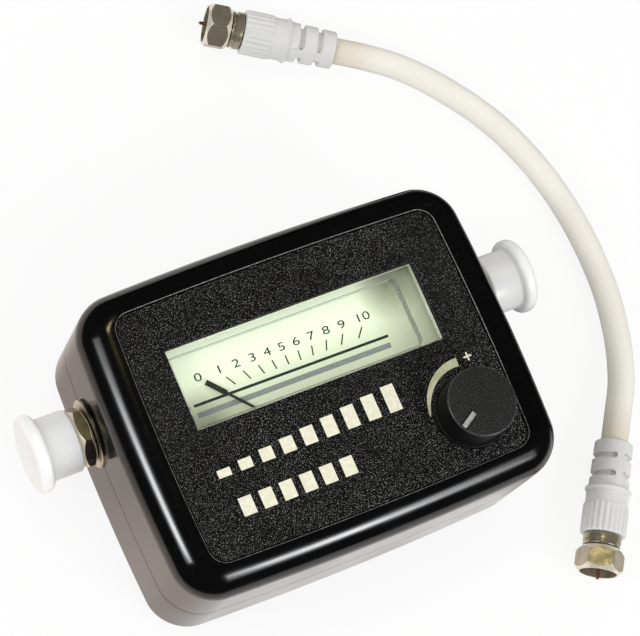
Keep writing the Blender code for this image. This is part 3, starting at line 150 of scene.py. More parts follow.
def scuffGroup():
    # Hair-thin handling marks in two directions over a slow cloudiness
    group, nodes, enter, leave = newGroup("handlingMarks", {"Scale": 120.0}, ("Marks", "Cloud"))
    found = []
    for turn, stretch in ((0.5, 22.0), (-0.9, 30.0)):
        mapping = nodes.add("Mapping", {
            "Vector": enter["Vector"], "Rotation": (0.0, 0.3, turn), "Scale": (1.0, stretch, stretch)})
        marks = nodes.noise(mapping.outputs["Vector"], enter["Scale"], 2.0, 0.7)
        found.append(nodes.spread(marks, 0.0, 1.0, 0.64, 0.74))
    cloud = nodes.noise(enter["Vector"], enter["Scale"], 3.0)
    nodes.feed(leave, {"Marks": nodes.maths("MAXIMUM", *found), "Cloud": cloud})
    return group


grain = grainGroup()
scuffs = scuffGroup()


class Finish(Nodes):
    # A material, built on its Principled shader
    def __init__(self, name, inputs=None):
        material = bpy.data.materials.new(name)
        material.use_nodes = True
        super().__init__(material.node_tree)
        self.shader = self.tree.nodes["Principled BSDF"]
        self.spot = self.add("TexCoord").outputs["Object"]
        self.feed(self.shader, inputs or {})
        finishes[name] = material

    def pattern(self, group, **values):
        return self.add("Group", {"Vector": self.spot, **values}, node_tree=group).outputs

    def distance(self, point):
        return self.vector("DISTANCE", self.spot, tuple(point), "Value")

    def surface(self, colour, rough, height, depth):
        bump = self.add("Bump", {"Strength": 1.0, "Distance": depth, "Height": height}).outputs["Normal"]
        self.feed(self.shader, {"Base Color": colour, "Roughness": rough, "Normal": bump})

    def mix(self, share, first, second):
        return self.add("MixShader", {0: share, 1: first, 2: second}).outputs["Shader"]

    def show(self, shader):
        self.feed(self.tree.nodes["Material Output"], {"Surface": shader})


# Glossy black case: slightly uneven moulding and faint handling marks
caseFinish = {
    "colour": (0.0020, 0.0020, 0.0023), "scuffed": (0.009, 0.0085, 0.008), "ior": 1.58,
    "rough": (0.10, 0.19, 0.3, 0.75), "marksScale": 70.0, "waveScale": 95.0, "waveDepth": 0.000025,
}


def glossBlack():
    look, finish = caseFinish, Finish("glossBlack", {"IOR": caseFinish["ior"]})
    marks = finish.pattern(scuffs, Scale=look["marksScale"])
    finish.surface(
        finish.blend(marks["Marks"], look["colour"], look["scuffed"]),
        finish.spread(marks["Cloud"], *look["rough"]),
        finish.noise(finish.spot, look["waveScale"], 1.0), look["waveDepth"])


# Powdered black of the face panel. Its pale specks are denser in patches, and denser still towards one corner
# as a painted broad highlight.
panelFinish = {
    "colour": (0.002, 0.002, 0.002), "speck": (0.52, 0.52, 0.51), "scale": 3900.0, "cut": 0.57,
    "specular": 0.25, "rough": 0.52, "speckRough": 0.34, "depth": 0.00007, "cloudScale": 38.0,
    "cloudLevel": (0.45, 0.80, 0.35, 0.65), "toward": (0.77, -0.64, 0.0),
    "cornerLevel": (1.0, 1.8, 0.012, 0.050),
}


def grainBlack():
    look, finish = panelFinish, Finish("grainBlack", {"Specular IOR Level": panelFinish["specular"]})
    fine = finish.pattern(grain, Scale=look["scale"], Cut=look["cut"])
    cloud = finish.pattern(scuffs, Scale=look["cloudScale"])["Cloud"]
    # The specks grow denser towards one corner: a painted highlight
    slope = finish.vector("DOT_PRODUCT", finish.spot, look["toward"], "Value")
    level = finish.maths(
        "MULTIPLY", finish.spread(cloud, *look["cloudLevel"]), finish.spread(slope, *look["cornerLevel"]))
    finish.surface(
        finish.blend(finish.maths("MULTIPLY", fine["Mask"], level), look["colour"], look["speck"]),
        finish.spread(fine["Mask"], look["rough"], look["speckRough"]), fine["Height"], look["depth"])


# Plain moulded plastics: a colour, its second shade, roughness, grain's scale and depth, specular level
plastics = {
    "satinBlack": ((0.004, 0.004, 0.004), (0.007, 0.007, 0.007), (0.42, 0.54), 1500.0, 0.00001, 0.3),
    # The knob's top rounding is painted lighter than the knob: a painted highlight
    "knobEdge": ((0.040, 0.040, 0.040), (0.060, 0.060, 0.060), (0.24, 0.36), 1500.0, 0.000006),
    "needleBlack": ((0.003, 0.005, 0.002), (0.008, 0.011, 0.005), (0.5, 0.65), 900.0, 0.00001, 0.15),
    "pointerGrey": ((0.33, 0.33, 0.32), (0.46, 0.46, 0.45), (0.4, 0.6), 1800.0, 0.00003),
    "insulatorWhite": ((0.78, 0.78, 0.76), (0.86, 0.86, 0.84), (0.35, 0.5), 500.0, 0.00002),
    "ribbonGrey": ((0.42, 0.42, 0.44), (0.52, 0.52, 0.54), (0.4, 0.55), 700.0, 0.00002),
    "bootWhite": ((0.72, 0.715, 0.705), (0.74, 0.735, 0.725), (0.34, 0.42), 1500.0, 0.00001),
    "knobTop": ((0.0098, 0.011, 0.0106), (0.028, 0.030, 0.029), (0.5, 0.62), 2400.0, 0.00005),
    # The recess lip's lighter colour is a painted highlight
    "lipWear": ((0.10, 0.10, 0.10), (0.17, 0.17, 0.165), (0.15, 0.25), 900.0, 0.000004),
    "creamPrint": ((0.80, 0.77, 0.60), (0.88, 0.85, 0.70), (0.55, 0.7), 900.0, 0.00001),
    "oliveCream": ((0.56, 0.57, 0.36), (0.72, 0.69, 0.50), (0.55, 0.7), 300.0, 0.00001),
    "darkInk": ((0.010, 0.016, 0.008), (0.022, 0.029, 0.017), (0.6, 0.7), 1200.0, 0.000004, 0.15),
    "lineInk": ((0.002, 0.012, 0.002), (0.005, 0.020, 0.004), (0.6, 0.7), 1200.0, 0.000004, 0.15),
    "bandInk": ((0.33, 0.37, 0.38), (0.38, 0.42, 0.42), (0.6, 0.7), 1200.0, 0.000004),
    "magnetGrey": ((0.07, 0.07, 0.075), (0.13, 0.13, 0.135), (0.5, 0.75), 900.0, 0.00003),
}


def plainPlastic(name, colour, shade, rough, scale, depth, specular=0.5):
    finish = Finish(name, {"Specular IOR Level": specular})
    fine = finish.pattern(grain, Scale=scale, Cut=0.45)
    finish.surface(
        finish.blend(fine["Mask"], colour, shade), finish.spread(fine["Height"], *rough, 0.3, 0.7),
        fine["Height"], depth)


# Metals: a colour, its tarnish in slow patches, roughness, the patches' scale, how metallic
metals = {
    "nickel": ((0.60, 0.56, 0.48), (0.40, 0.34, 0.24), (0.16, 0.30), 260.0, 1.0),
    "nickelTurned": ((0.47, 0.42, 0.32), (0.37, 0.32, 0.21), (0.22, 0.36), 420.0, 0.7),
    # A lighter, less metallic copy of the nickel for the nuts' chamfers: a painted highlight
    "nickelEdge": ((0.92, 0.86, 0.75), (0.80, 0.70, 0.54), (0.18, 0.30), 420.0, 0.45),
    "copper": ((0.72, 0.40, 0.27), (0.45, 0.20, 0.12), (0.25, 0.42), 500.0, 1.0),
    "brass": ((0.72, 0.56, 0.28), (0.50, 0.36, 0.15), (0.22, 0.4), 300.0, 1.0),
    "steel": ((0.54, 0.54, 0.55), (0.38, 0.37, 0.36), (0.24, 0.42), 300.0, 1.0),
}


def plainMetal(name, colour, tarnish, rough, scale, metallic):
    finish = Finish(name, {"Metallic": metallic})
    marks = finish.pattern(scuffs, Scale=scale)
    patch = finish.spread(marks["Cloud"], 0.0, 1.0, 0.42, 0.72)
    finish.surface(
        finish.blend(patch, colour, tarnish), finish.spread(marks["Cloud"], *rough, 0.3, 0.7),
        marks["Marks"], 0.000006)


# Clear moulded cover: shadows pass it, so the dial behind is lit. Its upright walls are frosted.
# Each look: transmission, roughness, refraction, colour
covers = {
    "clearPlastic": (1.0, (0.0, 0.05), 1.40, (0.97, 0.99, 0.96)),
    "frostedPlastic": (0.60, (0.30, 0.45), 1.30, (0.97, 0.99, 0.96)),
    # A dark tint for the inner face of the thick right-hand wall: painted shade
    "smokedPlastic": (0.60, (0.25, 0.40), 1.30, (0.30, 0.33, 0.28)),
}


def clearPlastic(name, through, rough, ior, colour):
    finish = Finish(name, {"Base Color": colour, "Transmission Weight": through, "IOR": ior})
    marks = finish.pattern(scuffs, Scale=60.0)["Marks"]
    finish.feed(finish.shader, {"Roughness": finish.spread(marks, *rough)})
    path = finish.add("LightPath").outputs
    clear = finish.add("BsdfTransparent", {"Color": (0.96, 0.98, 0.95)})
    passed = finish.maths("MAXIMUM", path["Is Shadow Ray"], path["Is Diffuse Ray"])
    finish.show(finish.mix(passed, finish.shader.outputs["BSDF"], clear.outputs["BSDF"]))


# Printed dial card: pale greenish cream. It glows with painted light in place of the lamp behind it and the
# light through the window, with painted shade darker towards the bottom and the right and in two painted shadow
# spots
dialLight = {
    "colour": (0.90, 1.0, 0.80), "olive": (0.72, 0.74, 0.48), "high": 0.42, "low": 0.10,
    "lowY": -0.0005, "highY": 0.0125, "clearX": 0.0192, "dullX": 0.0275, "dull": 0.16,
    # Place and reach of two painted shadow spots, and how dark each is
    "spots": (((0.0270, 0.0184, 0.0372), 0.0095, 0.16), ((-0.0285, -0.0010, 0.0372), 0.0120, 0.30)),
    "dark": (0.20, 0.21, 0.12), "card": (0.80, 0.84, 0.66), "shade": (0.83, 0.87, 0.69),
    "rough": 0.6, "scale": 1400.0, "depth": 0.000006,
}


def dialCream():
    look, finish = dialLight, Finish("dialCream")
    across = finish.axes(finish.spot)
    # The painted glow rises towards the top and falls towards the right: painted shade
    rise = finish.spread(across["Y"], look["low"], look["high"], look["lowY"], look["highY"])
    fall = finish.spread(across["X"], 1.0, look["dull"], look["clearX"], look["dullX"])
    clear = finish.maths("MINIMUM", *[
        finish.spread(finish.distance(spot), dull, 1.0, 0.0, reach) for spot, reach, dull in look["spots"]])
    level = finish.maths("MULTIPLY", finish.maths("MULTIPLY", rise, fall), clear)
    tint = finish.spread(level, 0.0, 1.0, look["low"] / 2, look["high"])
    finish.feed(finish.shader, {
        "Emission Strength": level, "Emission Color": finish.blend(tint, look["olive"], look["colour"])})
    fine = finish.pattern(grain, Scale=look["scale"], Cut=0.5)
    # The card's colour is darkened in the same spots: painted shadows
    card = finish.blend(clear, look["dark"], finish.blend(fine["Mask"], look["card"], look["shade"]))
    finish.surface(card, look["rough"], fine["Height"], look["depth"])


# Milky soft caps, with a faint painted glow in place of light passing through them
capFinish = {
    # The darker colour of the outward ends is painted shade
    "colour": (0.975, 0.975, 0.97), "end": (0.84, 0.84, 0.835), "endFrom": 0.0, "endTo": 0.030,
    "rough": (0.34, 0.42, 0.3, 0.7), "scale": 90.0, "depth": 0.00001,
    "shader": {
        "Subsurface Weight": 0.65, "Subsurface Scale": 0.0017, "Subsurface Radius": (1.0, 1.0, 1.0),
        "IOR": 1.4, "Specular IOR Level": 1.0, "Transmission Weight": 0.03, "Coat Weight": 1.0,
        "Coat Roughness": 0.34, "Emission Color": (1.0, 1.0, 0.99), "Emission Strength": 0.10},
}


def capMilky():
    look, finish = capFinish, Finish("capMilky", capFinish["shader"])
    # Both caps point away from the origin, and what faces outwards there is painted a little darker: painted
    # shade on their brightly lit ends
    normal = finish.add("NewGeometry").outputs["Normal"]
    outward = finish.axes(finish.vector("MULTIPLY", finish.spot, normal))["X"]
    ends = finish.spread(outward, 0.0, 1.0, look["endFrom"], look["endTo"])
    marks = finish.pattern(scuffs, Scale=look["scale"])
    finish.surface(
        finish.blend(ends, look["colour"], look["end"]), finish.spread(marks["Cloud"], *look["rough"]),
        marks["Marks"], look["depth"])


# Cable jacket: ivory, browner and darker where it leaves each boot
cableFinish = {
    "colour": (0.90, 0.865, 0.785), "shade": (0.93, 0.90, 0.83), "stain": (0.74, 0.66, 0.52),
    "stainLevel": (0.8, 0.0, 0.003, 0.012), "rough": (0.36, 0.5, 0.3, 0.7), "scale": 75.0, "depth": 0.00008,
}


def cableIvory(ends):
    look, finish = cableFinish, Finish("cableIvory")
    cloud = finish.pattern(scuffs, Scale=look["scale"])["Cloud"]
    colour = finish.blend(finish.spread(cloud, 0.0, 1.0, 0.35, 0.65), look["colour"], look["shade"])
    nearest = finish.maths("MINIMUM", *[finish.distance(end) for end in ends])
    nearBootColour = finish.blend(finish.spread(nearest, *look["stainLevel"]), colour, look["stain"])
    finish.surface(nearBootColour, finish.spread(cloud, *look["rough"]), cloud, look["depth"])


# Board lacquer with copper tracks under it
def boardGreen():
    finish = Finish("boardGreen")
    tracks = finish.add("TexBrick", {
        "Vector": finish.spot, "Color1": (0.018, 0.12, 0.045), "Color2": (0.022, 0.15, 0.055),
        "Mortar": (0.06, 0.24, 0.09), "Scale": 160.0, "Mortar Size": 0.035, "Brick Width": 1.6}).outputs
    finish.surface(tracks["Color"], finish.spread(tracks["Fac"], 0.45, 0.32), tracks["Fac"], 0.00003)


for makePlain, looks in ((plainPlastic, plastics), (plainMetal, metals), (clearPlastic, covers)):
    for name, look in looks.items():
        makePlain(name, *look)
for makeSpecial in (glossBlack, grainBlack, dialCream, capMilky, boardGreen):
    makeSpecial()
print("finishes made")


# Making, placing and cutting pieces
weldReach = 0.0000005


def smooth(mesh, degrees):
    mesh.shade_smooth()
    mesh.set_sharp_from_angle(angle=math.radians(degrees))


def moved(x, y, z, turn=0.0, axis="Z"):
    return Matrix.Translation((x, y, z)) @ Matrix.Rotation(turn, 4, axis)


def place(name, bm, finish=None, matrix=None, smoothDeg=35.0):
    # Turns a bmesh into a piece at its place, its object at the origin
    bmesh.ops.remove_doubles(bm, verts=bm.verts[:], dist=weldReach)
    if matrix is not None:
        bm.transform(matrix)
    bmesh.ops.recalc_face_normals(bm, faces=bm.faces[:])
    mesh = bpy.data.meshes.new(name)
    bm.to_mesh(mesh)
    bm.free()
    if finish:
        mesh.materials.append(finishes[finish])
    smooth(mesh, smoothDeg)
    return addObject(name, mesh)


def settle(item, body, nodes=()):
    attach(item, body)
    if nodes:
        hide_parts(*nodes)


def paintFaces(item, finish, chosen):
    # Gives the faces that a test picks a second finish
    item.data.materials.append(finishes[finish])
    index = len(item.data.materials) - 1
    for face in item.data.polygons:
        if chosen(face):
            face.material_index = index


def bake(item):
    # Applies the piece's modifiers to its mesh
    bpy.context.view_layer.update()
    graph = bpy.context.evaluated_depsgraph_get()
    made = bpy.data.meshes.new_from_object(item.evaluated_get(graph), depsgraph=graph)
    old = item.data
    item.modifiers.clear()
    item.data = made
    bpy.data.meshes.remove(old)


def combine(item, tools, operation="DIFFERENCE", smoothDeg=35.0):
    for tool in tools:
        configure(item.modifiers.new("cut", "BOOLEAN"), operation=operation, solver="EXACT", object=tool)
    bake(item)
    for tool in tools:
        bpy.data.objects.remove(tool, do_unlink=True)
    smooth(item.data, smoothDeg)


def softenEdges(item, width, segments=2, angleDeg=40.0):
    configure(
        item.modifiers.new("softEdges", "BEVEL"), width=width, segments=segments, limit_method="ANGLE",
        angle_limit=math.radians(angleDeg), use_clamp_overlap=False, miter_outer="MITER_ARC")
    item.modifiers.new("evenNormals", "WEIGHTED_NORMAL").keep_sharp = True
    bake(item)


def flatFace(bm, size, centre, height, turn=0.0):
    matrix = moved(*centre, height, turn) @ Matrix.Diagonal((*size, 1.0, 1.0))
    bmesh.ops.create_grid(bm, x_segments=1, y_segments=1, size=0.5, matrix=matrix)


def roundOff(bm, parts, radius, steps, affect="EDGES"):
    bmesh.ops.bevel(
        bm, geom=parts, offset=radius, offset_type="OFFSET", segments=steps, profile=0.5,
        affect=affect, material=-1, clamp_overlap=True)


def sweepRound(bm, parts, angle, steps, **more):
    bmesh.ops.spin(bm, geom=parts, cent=(0, 0, 0), axis=(0, 0, 1), angle=angle, steps=steps, **more)


def spun(profile, steps=64):
    # A turned form about Z from (radius, height) points
    bm = bmesh.new()
    verts = [bm.verts.new((radius, 0.0, height)) for radius, height in profile]
    edges = [bm.edges.new(pair) for pair in zip(verts[:-1], verts[1:])]
    if profile[0][0] > 0.0 or profile[-1][0] > 0.0:
        edges.append(bm.edges.new((verts[-1], verts[0])))
    sweepRound(bm, verts + edges, math.tau, steps, use_merge=True)
    bmesh.ops.remove_doubles(bm, verts=bm.verts[:], dist=weldReach)
    return bm


def arc(centre, radius, startDeg, endDeg, steps):
    # Points along a quarter turn or less, for the corners of a turned profile
    points = []
    for step in range(steps + 1):
        angle = math.radians(startDeg + (endDeg - startDeg) * step / steps)
        points.append((centre[0] + radius * math.cos(angle), centre[1] + radius * math.sin(angle)))
    return points


def rod(radius, low, high, centre=(0.0, 0.0), steps=48, turn=0.0):
    # An upright cylinder, or a prism with few steps
    bm = bmesh.new()
    bmesh.ops.create_cone(
        bm, cap_ends=True, segments=steps, radius1=radius, radius2=radius, depth=high - low,
        matrix=moved(*centre, (low + high) / 2, turn))
    return bm


def rods(radius, low, high, spots):
    return [place("rod", rod(radius, low, high, spot)) for spot in spots]


def block(size, centre):
    bm = bmesh.new()
    bmesh.ops.create_cube(bm, size=1.0, matrix=moved(*centre) @ Matrix.Diagonal((*size, 1.0)))
    return bm


def uprightEdges(bm, least=0.001):
    return [edge for edge in bm.edges if abs(edge.verts[0].co.z - edge.verts[1].co.z) > least]


def roundedFace(size, radius, crown, height, cornerSteps=14, sideCuts=26):
    # A flat face with round corners whose sides bow outwards by the crown
    bm = bmesh.new()
    halfX, halfY = size[0] / 2 - crown, size[1] / 2 - crown
    flatFace(bm, (2 * halfX, 2 * halfY), (0.0, 0.0), height)
    roundOff(bm, bm.verts[:], radius, cornerSteps, "VERTICES")
    straight = [edge for edge in bm.edges if edge.calc_length() > radius]
    bmesh.ops.subdivide_edges(bm, edges=straight, cuts=sideCuts)
    for vert in bm.verts:
        x, y = vert.co.x, vert.co.y
        vert.co.x = x + crown * (1 - (y / halfY) ** 2) * x / halfX
        vert.co.y = y + crown * (1 - (x / halfX) ** 2) * y / halfY
    return bm


def endFace(bm, pick):
    # The highest or the lowest of the faces with many corners
    wide = [face for face in bm.faces if len(face.verts) > 4]
    return pick(wide, key=lambda face: face.calc_center_median().z)


def raiseFace(bm, rise):
    # Extrudes the one face of a bmesh and returns its moved copy
    made = bmesh.ops.extrude_face_region(bm, geom=bm.faces[:])
    moved = [part for part in made["geom"] if isinstance(part, bmesh.types.BMVert)]
    bmesh.ops.translate(bm, verts=moved, vec=(0.0, 0.0, rise))
    bmesh.ops.recalc_face_normals(bm, faces=bm.faces[:])
    return endFace(bm, max)


def roundOver(bm, face, radius, steps):
    # Rolls the edge of a flat face over in even steps
    inset, rise = 0.0, 0.0
    for step in range(1, steps + 1):
        angle = math.radians(90.0 * step / steps)
        nextInset, nextRise = radius * (1 - math.cos(angle)), radius * math.sin(angle)
        bmesh.ops.inset_region(
            bm, faces=[face], thickness=nextInset - inset, depth=nextRise - rise,
            use_even_offset=True, use_boundary=True)
        inset, rise = nextInset, nextRise


# Case shells
case = {
    "length": 0.1051, "width": 0.0803, "crown": 0.00138, "corner": 0.0098, "wall": 0.0024,
    "rimTop": 0.0447, "rimRound": 0.0077, "rimSteps": 16, "backRound": 0.0038, "backSteps": 8,
    "hollowSteps": (6, 3), "parting": 0.0204, "seam": 0.00007, "ceiling": 0.0409, "floor": 0.0024,
    "overrun": 0.004, "lip": 0.00022, "edge": 0.00012, "bossRadius": 0.0044, "bossX": 0.0432,
    "bossY": 0.0312, "bossSunk": 0.001, "footLow": 0.0012, "pilotRadius": 0.0018, "pilotTop": 0.031,
    "wayLow": 0.001, "wellRadius": 0.0031, "wellLow": -0.002, "wellTop": 0.0050, "postRadius": 0.0032,
    "postX": 0.0360, "postY": 0.0215, "postTop": 0.0178, "postPilot": 0.0015, "postPilotLow": 0.0094,
}
panel = {
    "length": 0.0868, "width": 0.0651, "crown": 0.0008, "corner": 0.0036, "top": 0.0444,
    "thickness": 0.001, "gap": 0.0003, "edge": 0.00009, "recess": 0.0013, "lipReach": 0.0009,
    "cutLow": 0.0385, "cutHigh": 0.0465,
}
window = {"length": 0.0670, "width": 0.0210, "x": -0.0005, "y": 0.0100}
control = {"x": 0.0308, "y": -0.0198, "hole": 0.0044}
socketPlace = {"y": 0.0123, "z": 0.0204, "bore": 0.00505}


def shellBlock(name, low, high, inset, rounding, steps, roundTop):
    size = (case["length"] - 2 * inset, case["width"] - 2 * inset)
    bm = roundedFace(size, case["corner"] - inset, case["crown"], low if roundTop else low + rounding)
    top = raiseFace(bm, high - low - rounding)
    roundOver(bm, top if roundTop else endFace(bm, min), rounding, steps)
    return place(name, bm, "glossBlack")


def corners(x, y):
    return [(sideX * x, sideY * y) for sideX in (-1, 1) for sideY in (-1, 1)]


bossSpots = corners(case["bossX"], case["bossY"])
postSpots = [(-case["postX"], -case["postY"]), (case["postX"], case["postY"])]


def socketBore():
    matrix = moved(0.0, socketPlace["y"], socketPlace["z"], math.pi / 2, "Y")
    return place("bore", rod(socketPlace["bore"], -case["length"], case["length"]), None, matrix)


def faceCuts():
    # The tools of the window and of the control's hole
    low, high = panel["cutLow"], panel["cutHigh"]
    opening = block(
        (window["length"], window["width"], high - low), (window["x"], window["y"], (low + high) / 2))
    return [place("windowCut", opening), *rods(control["hole"], low, high, [(control["x"], control["y"])])]


def onLip(face):
    # The narrow rounded lip of the recess, whose faces look up and inwards; they carry a painted highlight
    inward = -face.center.x * face.normal.x - face.center.y * face.normal.y
    return face.center.z > panel["top"] - panel["lipReach"] and 0.1 < face.normal.z < 0.98 and inward > 0.002


def makeFrontShell():
    low, wall, rolled = case["parting"] + case["seam"] / 2, case["wall"], case["rimRound"]
    shell = shellBlock("frontShell", low, case["rimTop"], 0.0, rolled, case["rimSteps"], True)
    combine(shell, [shellBlock(
        "frontHollow", low - case["overrun"], case["ceiling"], wall, rolled - wall, case["hollowSteps"][0],
        True)])
    combine(shell, rods(case["bossRadius"], low, case["ceiling"] + case["bossSunk"], bossSpots), "UNION")
    size = (panel["length"] + 2 * panel["gap"], panel["width"] + 2 * panel["gap"])
    recess = roundedFace(size, panel["corner"] + panel["gap"], panel["crown"], panel["top"] - panel["recess"])
    raiseFace(recess, case["overrun"])
    pilots = rods(case["pilotRadius"], 0.0, case["pilotTop"], bossSpots)
    combine(shell, [place("recess", recess), *faceCuts(), socketBore(), *pilots])
    softenEdges(shell, case["lip"], 3)
    # The lip's faces get a lighter finish: a painted highlight along the recess
    paintFaces(shell, "lipWear", onLip)
    settle(shell, "case", ("front_case",))


def makeBackShell():
    high, wall, rolled = case["parting"] - case["seam"] / 2, case["wall"], case["backRound"]
    shell = shellBlock("backShell", 0.0, high, 0.0, rolled, case["backSteps"], False)
    combine(shell, [shellBlock(
        "backHollow", case["floor"], high + case["overrun"], wall, rolled - wall, case["hollowSteps"][1],
        False)])
    feet = rods(case["bossRadius"], case["footLow"], high, bossSpots)
    combine(shell, feet + rods(case["postRadius"], case["footLow"], case["postTop"], postSpots), "UNION")
    tools = [socketBore()]
    for spot in bossSpots:
        tools += rods(case["pilotRadius"], case["wayLow"], case["rimTop"], [spot])
        tools += rods(case["wellRadius"], case["wellLow"], case["wellTop"], [spot])
    combine(shell, tools + rods(case["postPilot"], case["postPilotLow"], case["rimTop"], postSpots))
    softenEdges(shell, case["edge"])
    settle(shell, "case", ("back_case",))


def makePanel():
    low = panel["top"] - panel["thickness"]
    bm = roundedFace((panel["length"], panel["width"]), panel["corner"], panel["crown"], low)
    raiseFace(bm, panel["thickness"])
    plate = place("facePanel", bm, "grainBlack")
    combine(plate, faceCuts())
    softenEdges(plate, panel["edge"])
    settle(plate, "case", ("face_plate",))


makeFrontShell()
makeBackShell()
makePanel()
print("case and panel made")


# Print on the panel: plain rising bars, a row of blocks and the level wedge by the knob
panelPrint = {
    "lift": 0.00003, "cornerRound": 0.00012,
    "rows": (
        {"count": 9, "left": -0.0339, "right": 0.0154, "low": -0.0131, "shortest": 0.0020, "tallest": 0.0068},
        {"count": 6, "left": -0.0318, "right": -0.0015, "low": -0.0236, "shortest": 0.0046, "tallest": 0.0046}),
    "barWidth": 0.0034,
    "wedge": {"radius": 0.01195, "startDeg": 88.0, "endDeg": 177.0, "widest": 0.0022, "steps": 40,
              "x": 0.0329, "y": -0.0180},
    "plus": {"x": 0.0363, "y": -0.0067, "arm": 0.0022, "width": 0.00045},
}
panelPrint["height"] = panel["top"] + panelPrint["lift"]


def makePanelPrint():
    bm = bmesh.new()
    height, width = panelPrint["height"], panelPrint["barWidth"]
    for row in panelPrint["rows"]:
        step = (row["right"] - row["left"] - width) / (row["count"] - 1)
        for number in range(row["count"]):
            tall = row["shortest"] + (row["tallest"] - row["shortest"]) * (number / (row["count"] - 1))
            middle = row["left"] + width / 2 + step * number
            flatFace(bm, (width, tall), (middle, row["low"] + tall / 2), height)
    plus = panelPrint["plus"]
    flatFace(bm, (plus["arm"], plus["width"]), (plus["x"], plus["y"]), height)
    side = (plus["arm"] - plus["width"]) / 2
    for sign in (-1, 1):
        centre = (plus["x"], plus["y"] + sign * (plus["width"] + side) / 2)
        flatFace(bm, (plus["width"], side), centre, height)
    roundOff(bm, bm.verts[:], panelPrint["cornerRound"], 3, "VERTICES")
    settle(place("panelPrint", bm, "creamPrint"), "case")


def makeWedge():
    # The level wedge: a band along an arc that narrows to a point
    bm = bmesh.new()
    wedge = panelPrint["wedge"]
    start, outer = math.radians(wedge["startDeg"]), wedge["radius"]
    edge = []
    for radius in (outer, outer - wedge["widest"]):
        edge.append(bm.verts.new((radius * math.cos(start), radius * math.sin(start), panelPrint["height"])))
    sweep = math.radians(wedge["endDeg"] - wedge["startDeg"])
    sweepRound(bm, edge + [bm.edges.new(edge)], sweep, wedge["steps"])
    for vert in bm.verts:
        reach = math.hypot(vert.co.x, vert.co.y)
        if reach < outer - wedge["widest"] / 2:
            share = 1 - (math.atan2(vert.co.y, vert.co.x) - start) / sweep
            narrow = outer - wedge["widest"] * max(share, 0.01) ** 0.5
            vert.co.x *= narrow / reach
            vert.co.y *= narrow / reach
    bmesh.ops.translate(bm, verts=bm.verts[:], vec=(wedge["x"], wedge["y"], 0.0))
    settle(place("panelWedge", bm, "oliveCream"), "case")


# Dial print: numbers 0 to 10, ticks and the base line; and a grey band drawn on the dial below the line
dial = {
    "top": 0.0372, "lift": 0.00003, "numberSize": 0.0030, "numberWide": 1.42, "numberY": 0.01275,
    "numberX": (-0.02696, -0.02126, -0.01674, -0.01232, -0.00833, -0.00443, -0.00049, 0.00360, 0.00776,
                0.01211, 0.01785),
    # From the print's upper to its lower end, and each tick's places at both
    "tickY": (0.01052, 0.00806), "tickWidth": 0.00034,
    "tickX": (
        (-0.02041, -0.01889), (-0.01586, -0.01478), (-0.01173, -0.01108), (-0.00806, -0.00777),
        (-0.00449, -0.00444), (-0.00096, -0.00117), (0.00280, 0.00218), (0.00684, 0.00583),
        (0.01138, 0.00996), (0.01671, 0.01475)),
    "line": ((-0.03071, 0.00650), (0.02206, 0.00615), 0.00070),
    "band": ((-0.03073, 0.00400), (0.02174, 0.00381), 0.00135),
}


def stroke(bm, start, end, width):
    # A thin flat bar from one point of the dial to another
    along, middle = Vector(end) - Vector(start), (Vector(start) + Vector(end)) / 2
    turn = math.atan2(along.y, along.x)
    flatFace(bm, (along.length, width), middle, dial["top"] + dial["lift"], turn)


def makeDialPrint():
    bm = bmesh.new()
    for ends in dial["tickX"]:
        stroke(bm, *zip(ends, dial["tickY"]), dial["tickWidth"])
    for number, x in enumerate(dial["numberX"]):
        holder = addObject("number", configure(
            bpy.data.curves.new("number", "FONT"), body=str(number), size=dial["numberSize"],
            align_x="CENTER", align_y="CENTER"))
        bpy.context.view_layer.update()
        mesh = bpy.data.meshes.new_from_object(holder)
        rest = moved(x, dial["numberY"], dial["top"] + dial["lift"])
        mesh.transform(rest @ Matrix.Diagonal((dial["numberWide"], 1.0, 1.0, 1.0)))
        bm.from_mesh(mesh)
        bpy.data.objects.remove(holder, do_unlink=True)
    settle(place("dialNumbers", bm, "darkInk"), "case")
    for name, finish in (("line", "lineInk"), ("band", "bandInk")):
        bm = bmesh.new()
        stroke(bm, *dial[name])
        settle(place(f"dial{name.capitalize()}", bm, finish), "case")


# Clear meter cover: a boss that fills the window over a skirt that covers the dial
cover = {
    "bossTop": 0.0437, "skirtTop": 0.0406, "bottom": 0.0366, "wall": 0.0016, "gap": 0.0003,
    "length": 0.0734, "top": 0.0237, "head": -0.0037, "low": -0.0259, "stem": 0.0350, "stemX": -0.0040,
    "wellRound": 0.0017, "wellLeft": 0.0005, "wellRight": 0.0046, "wellBase": 0.0005, "wellHead": 0.0016,
    "wellOverrun": 0.003, "hollowOverrun": 0.002, "bossRound": 0.0004, "edge": 0.00015, "thickWallX": 0.02,
}


def coverSkirt(name, inset, low, high):
    # The head across the window, joined to the stem over the movement
    height, middle, headY = high - low, (low + high) / 2, (cover["top"] + cover["head"]) / 2
    headSize = (cover["length"] - 2 * inset, cover["top"] - cover["head"] - 2 * inset, height)
    stemSize = (cover["stem"] - 2 * inset, headY - cover["low"] - inset, height)
    skirt = place(name, block(headSize, (window["x"], headY, middle)), "clearPlastic")
    stem = block(stemSize, (cover["stemX"], (headY + cover["low"] + inset) / 2, middle))
    combine(skirt, [place("stem", stem)], "UNION")
    return skirt


def wellTool(start, end):
    # The hollow of the boss, whose right-hand wall is thick and round-cornered
    low, high = cover["bottom"] - cover["wellOverrun"], cover["bossTop"] - cover["wall"]
    base = window["y"] - window["width"] / 2 + cover["gap"] + cover["wellBase"]
    head = window["y"] + window["width"] / 2 - cover["gap"] - cover["wellHead"]
    middle = ((start + end) / 2, (base + head) / 2, (low + high) / 2)
    bm = block((end - start, head - base, high - low), middle)
    right = [edge for edge in uprightEdges(bm) if all(vert.co.x > window["x"] for vert in edge.verts)]
    roundOff(bm, right, cover["wellRound"], 6)
    return place("well", bm)


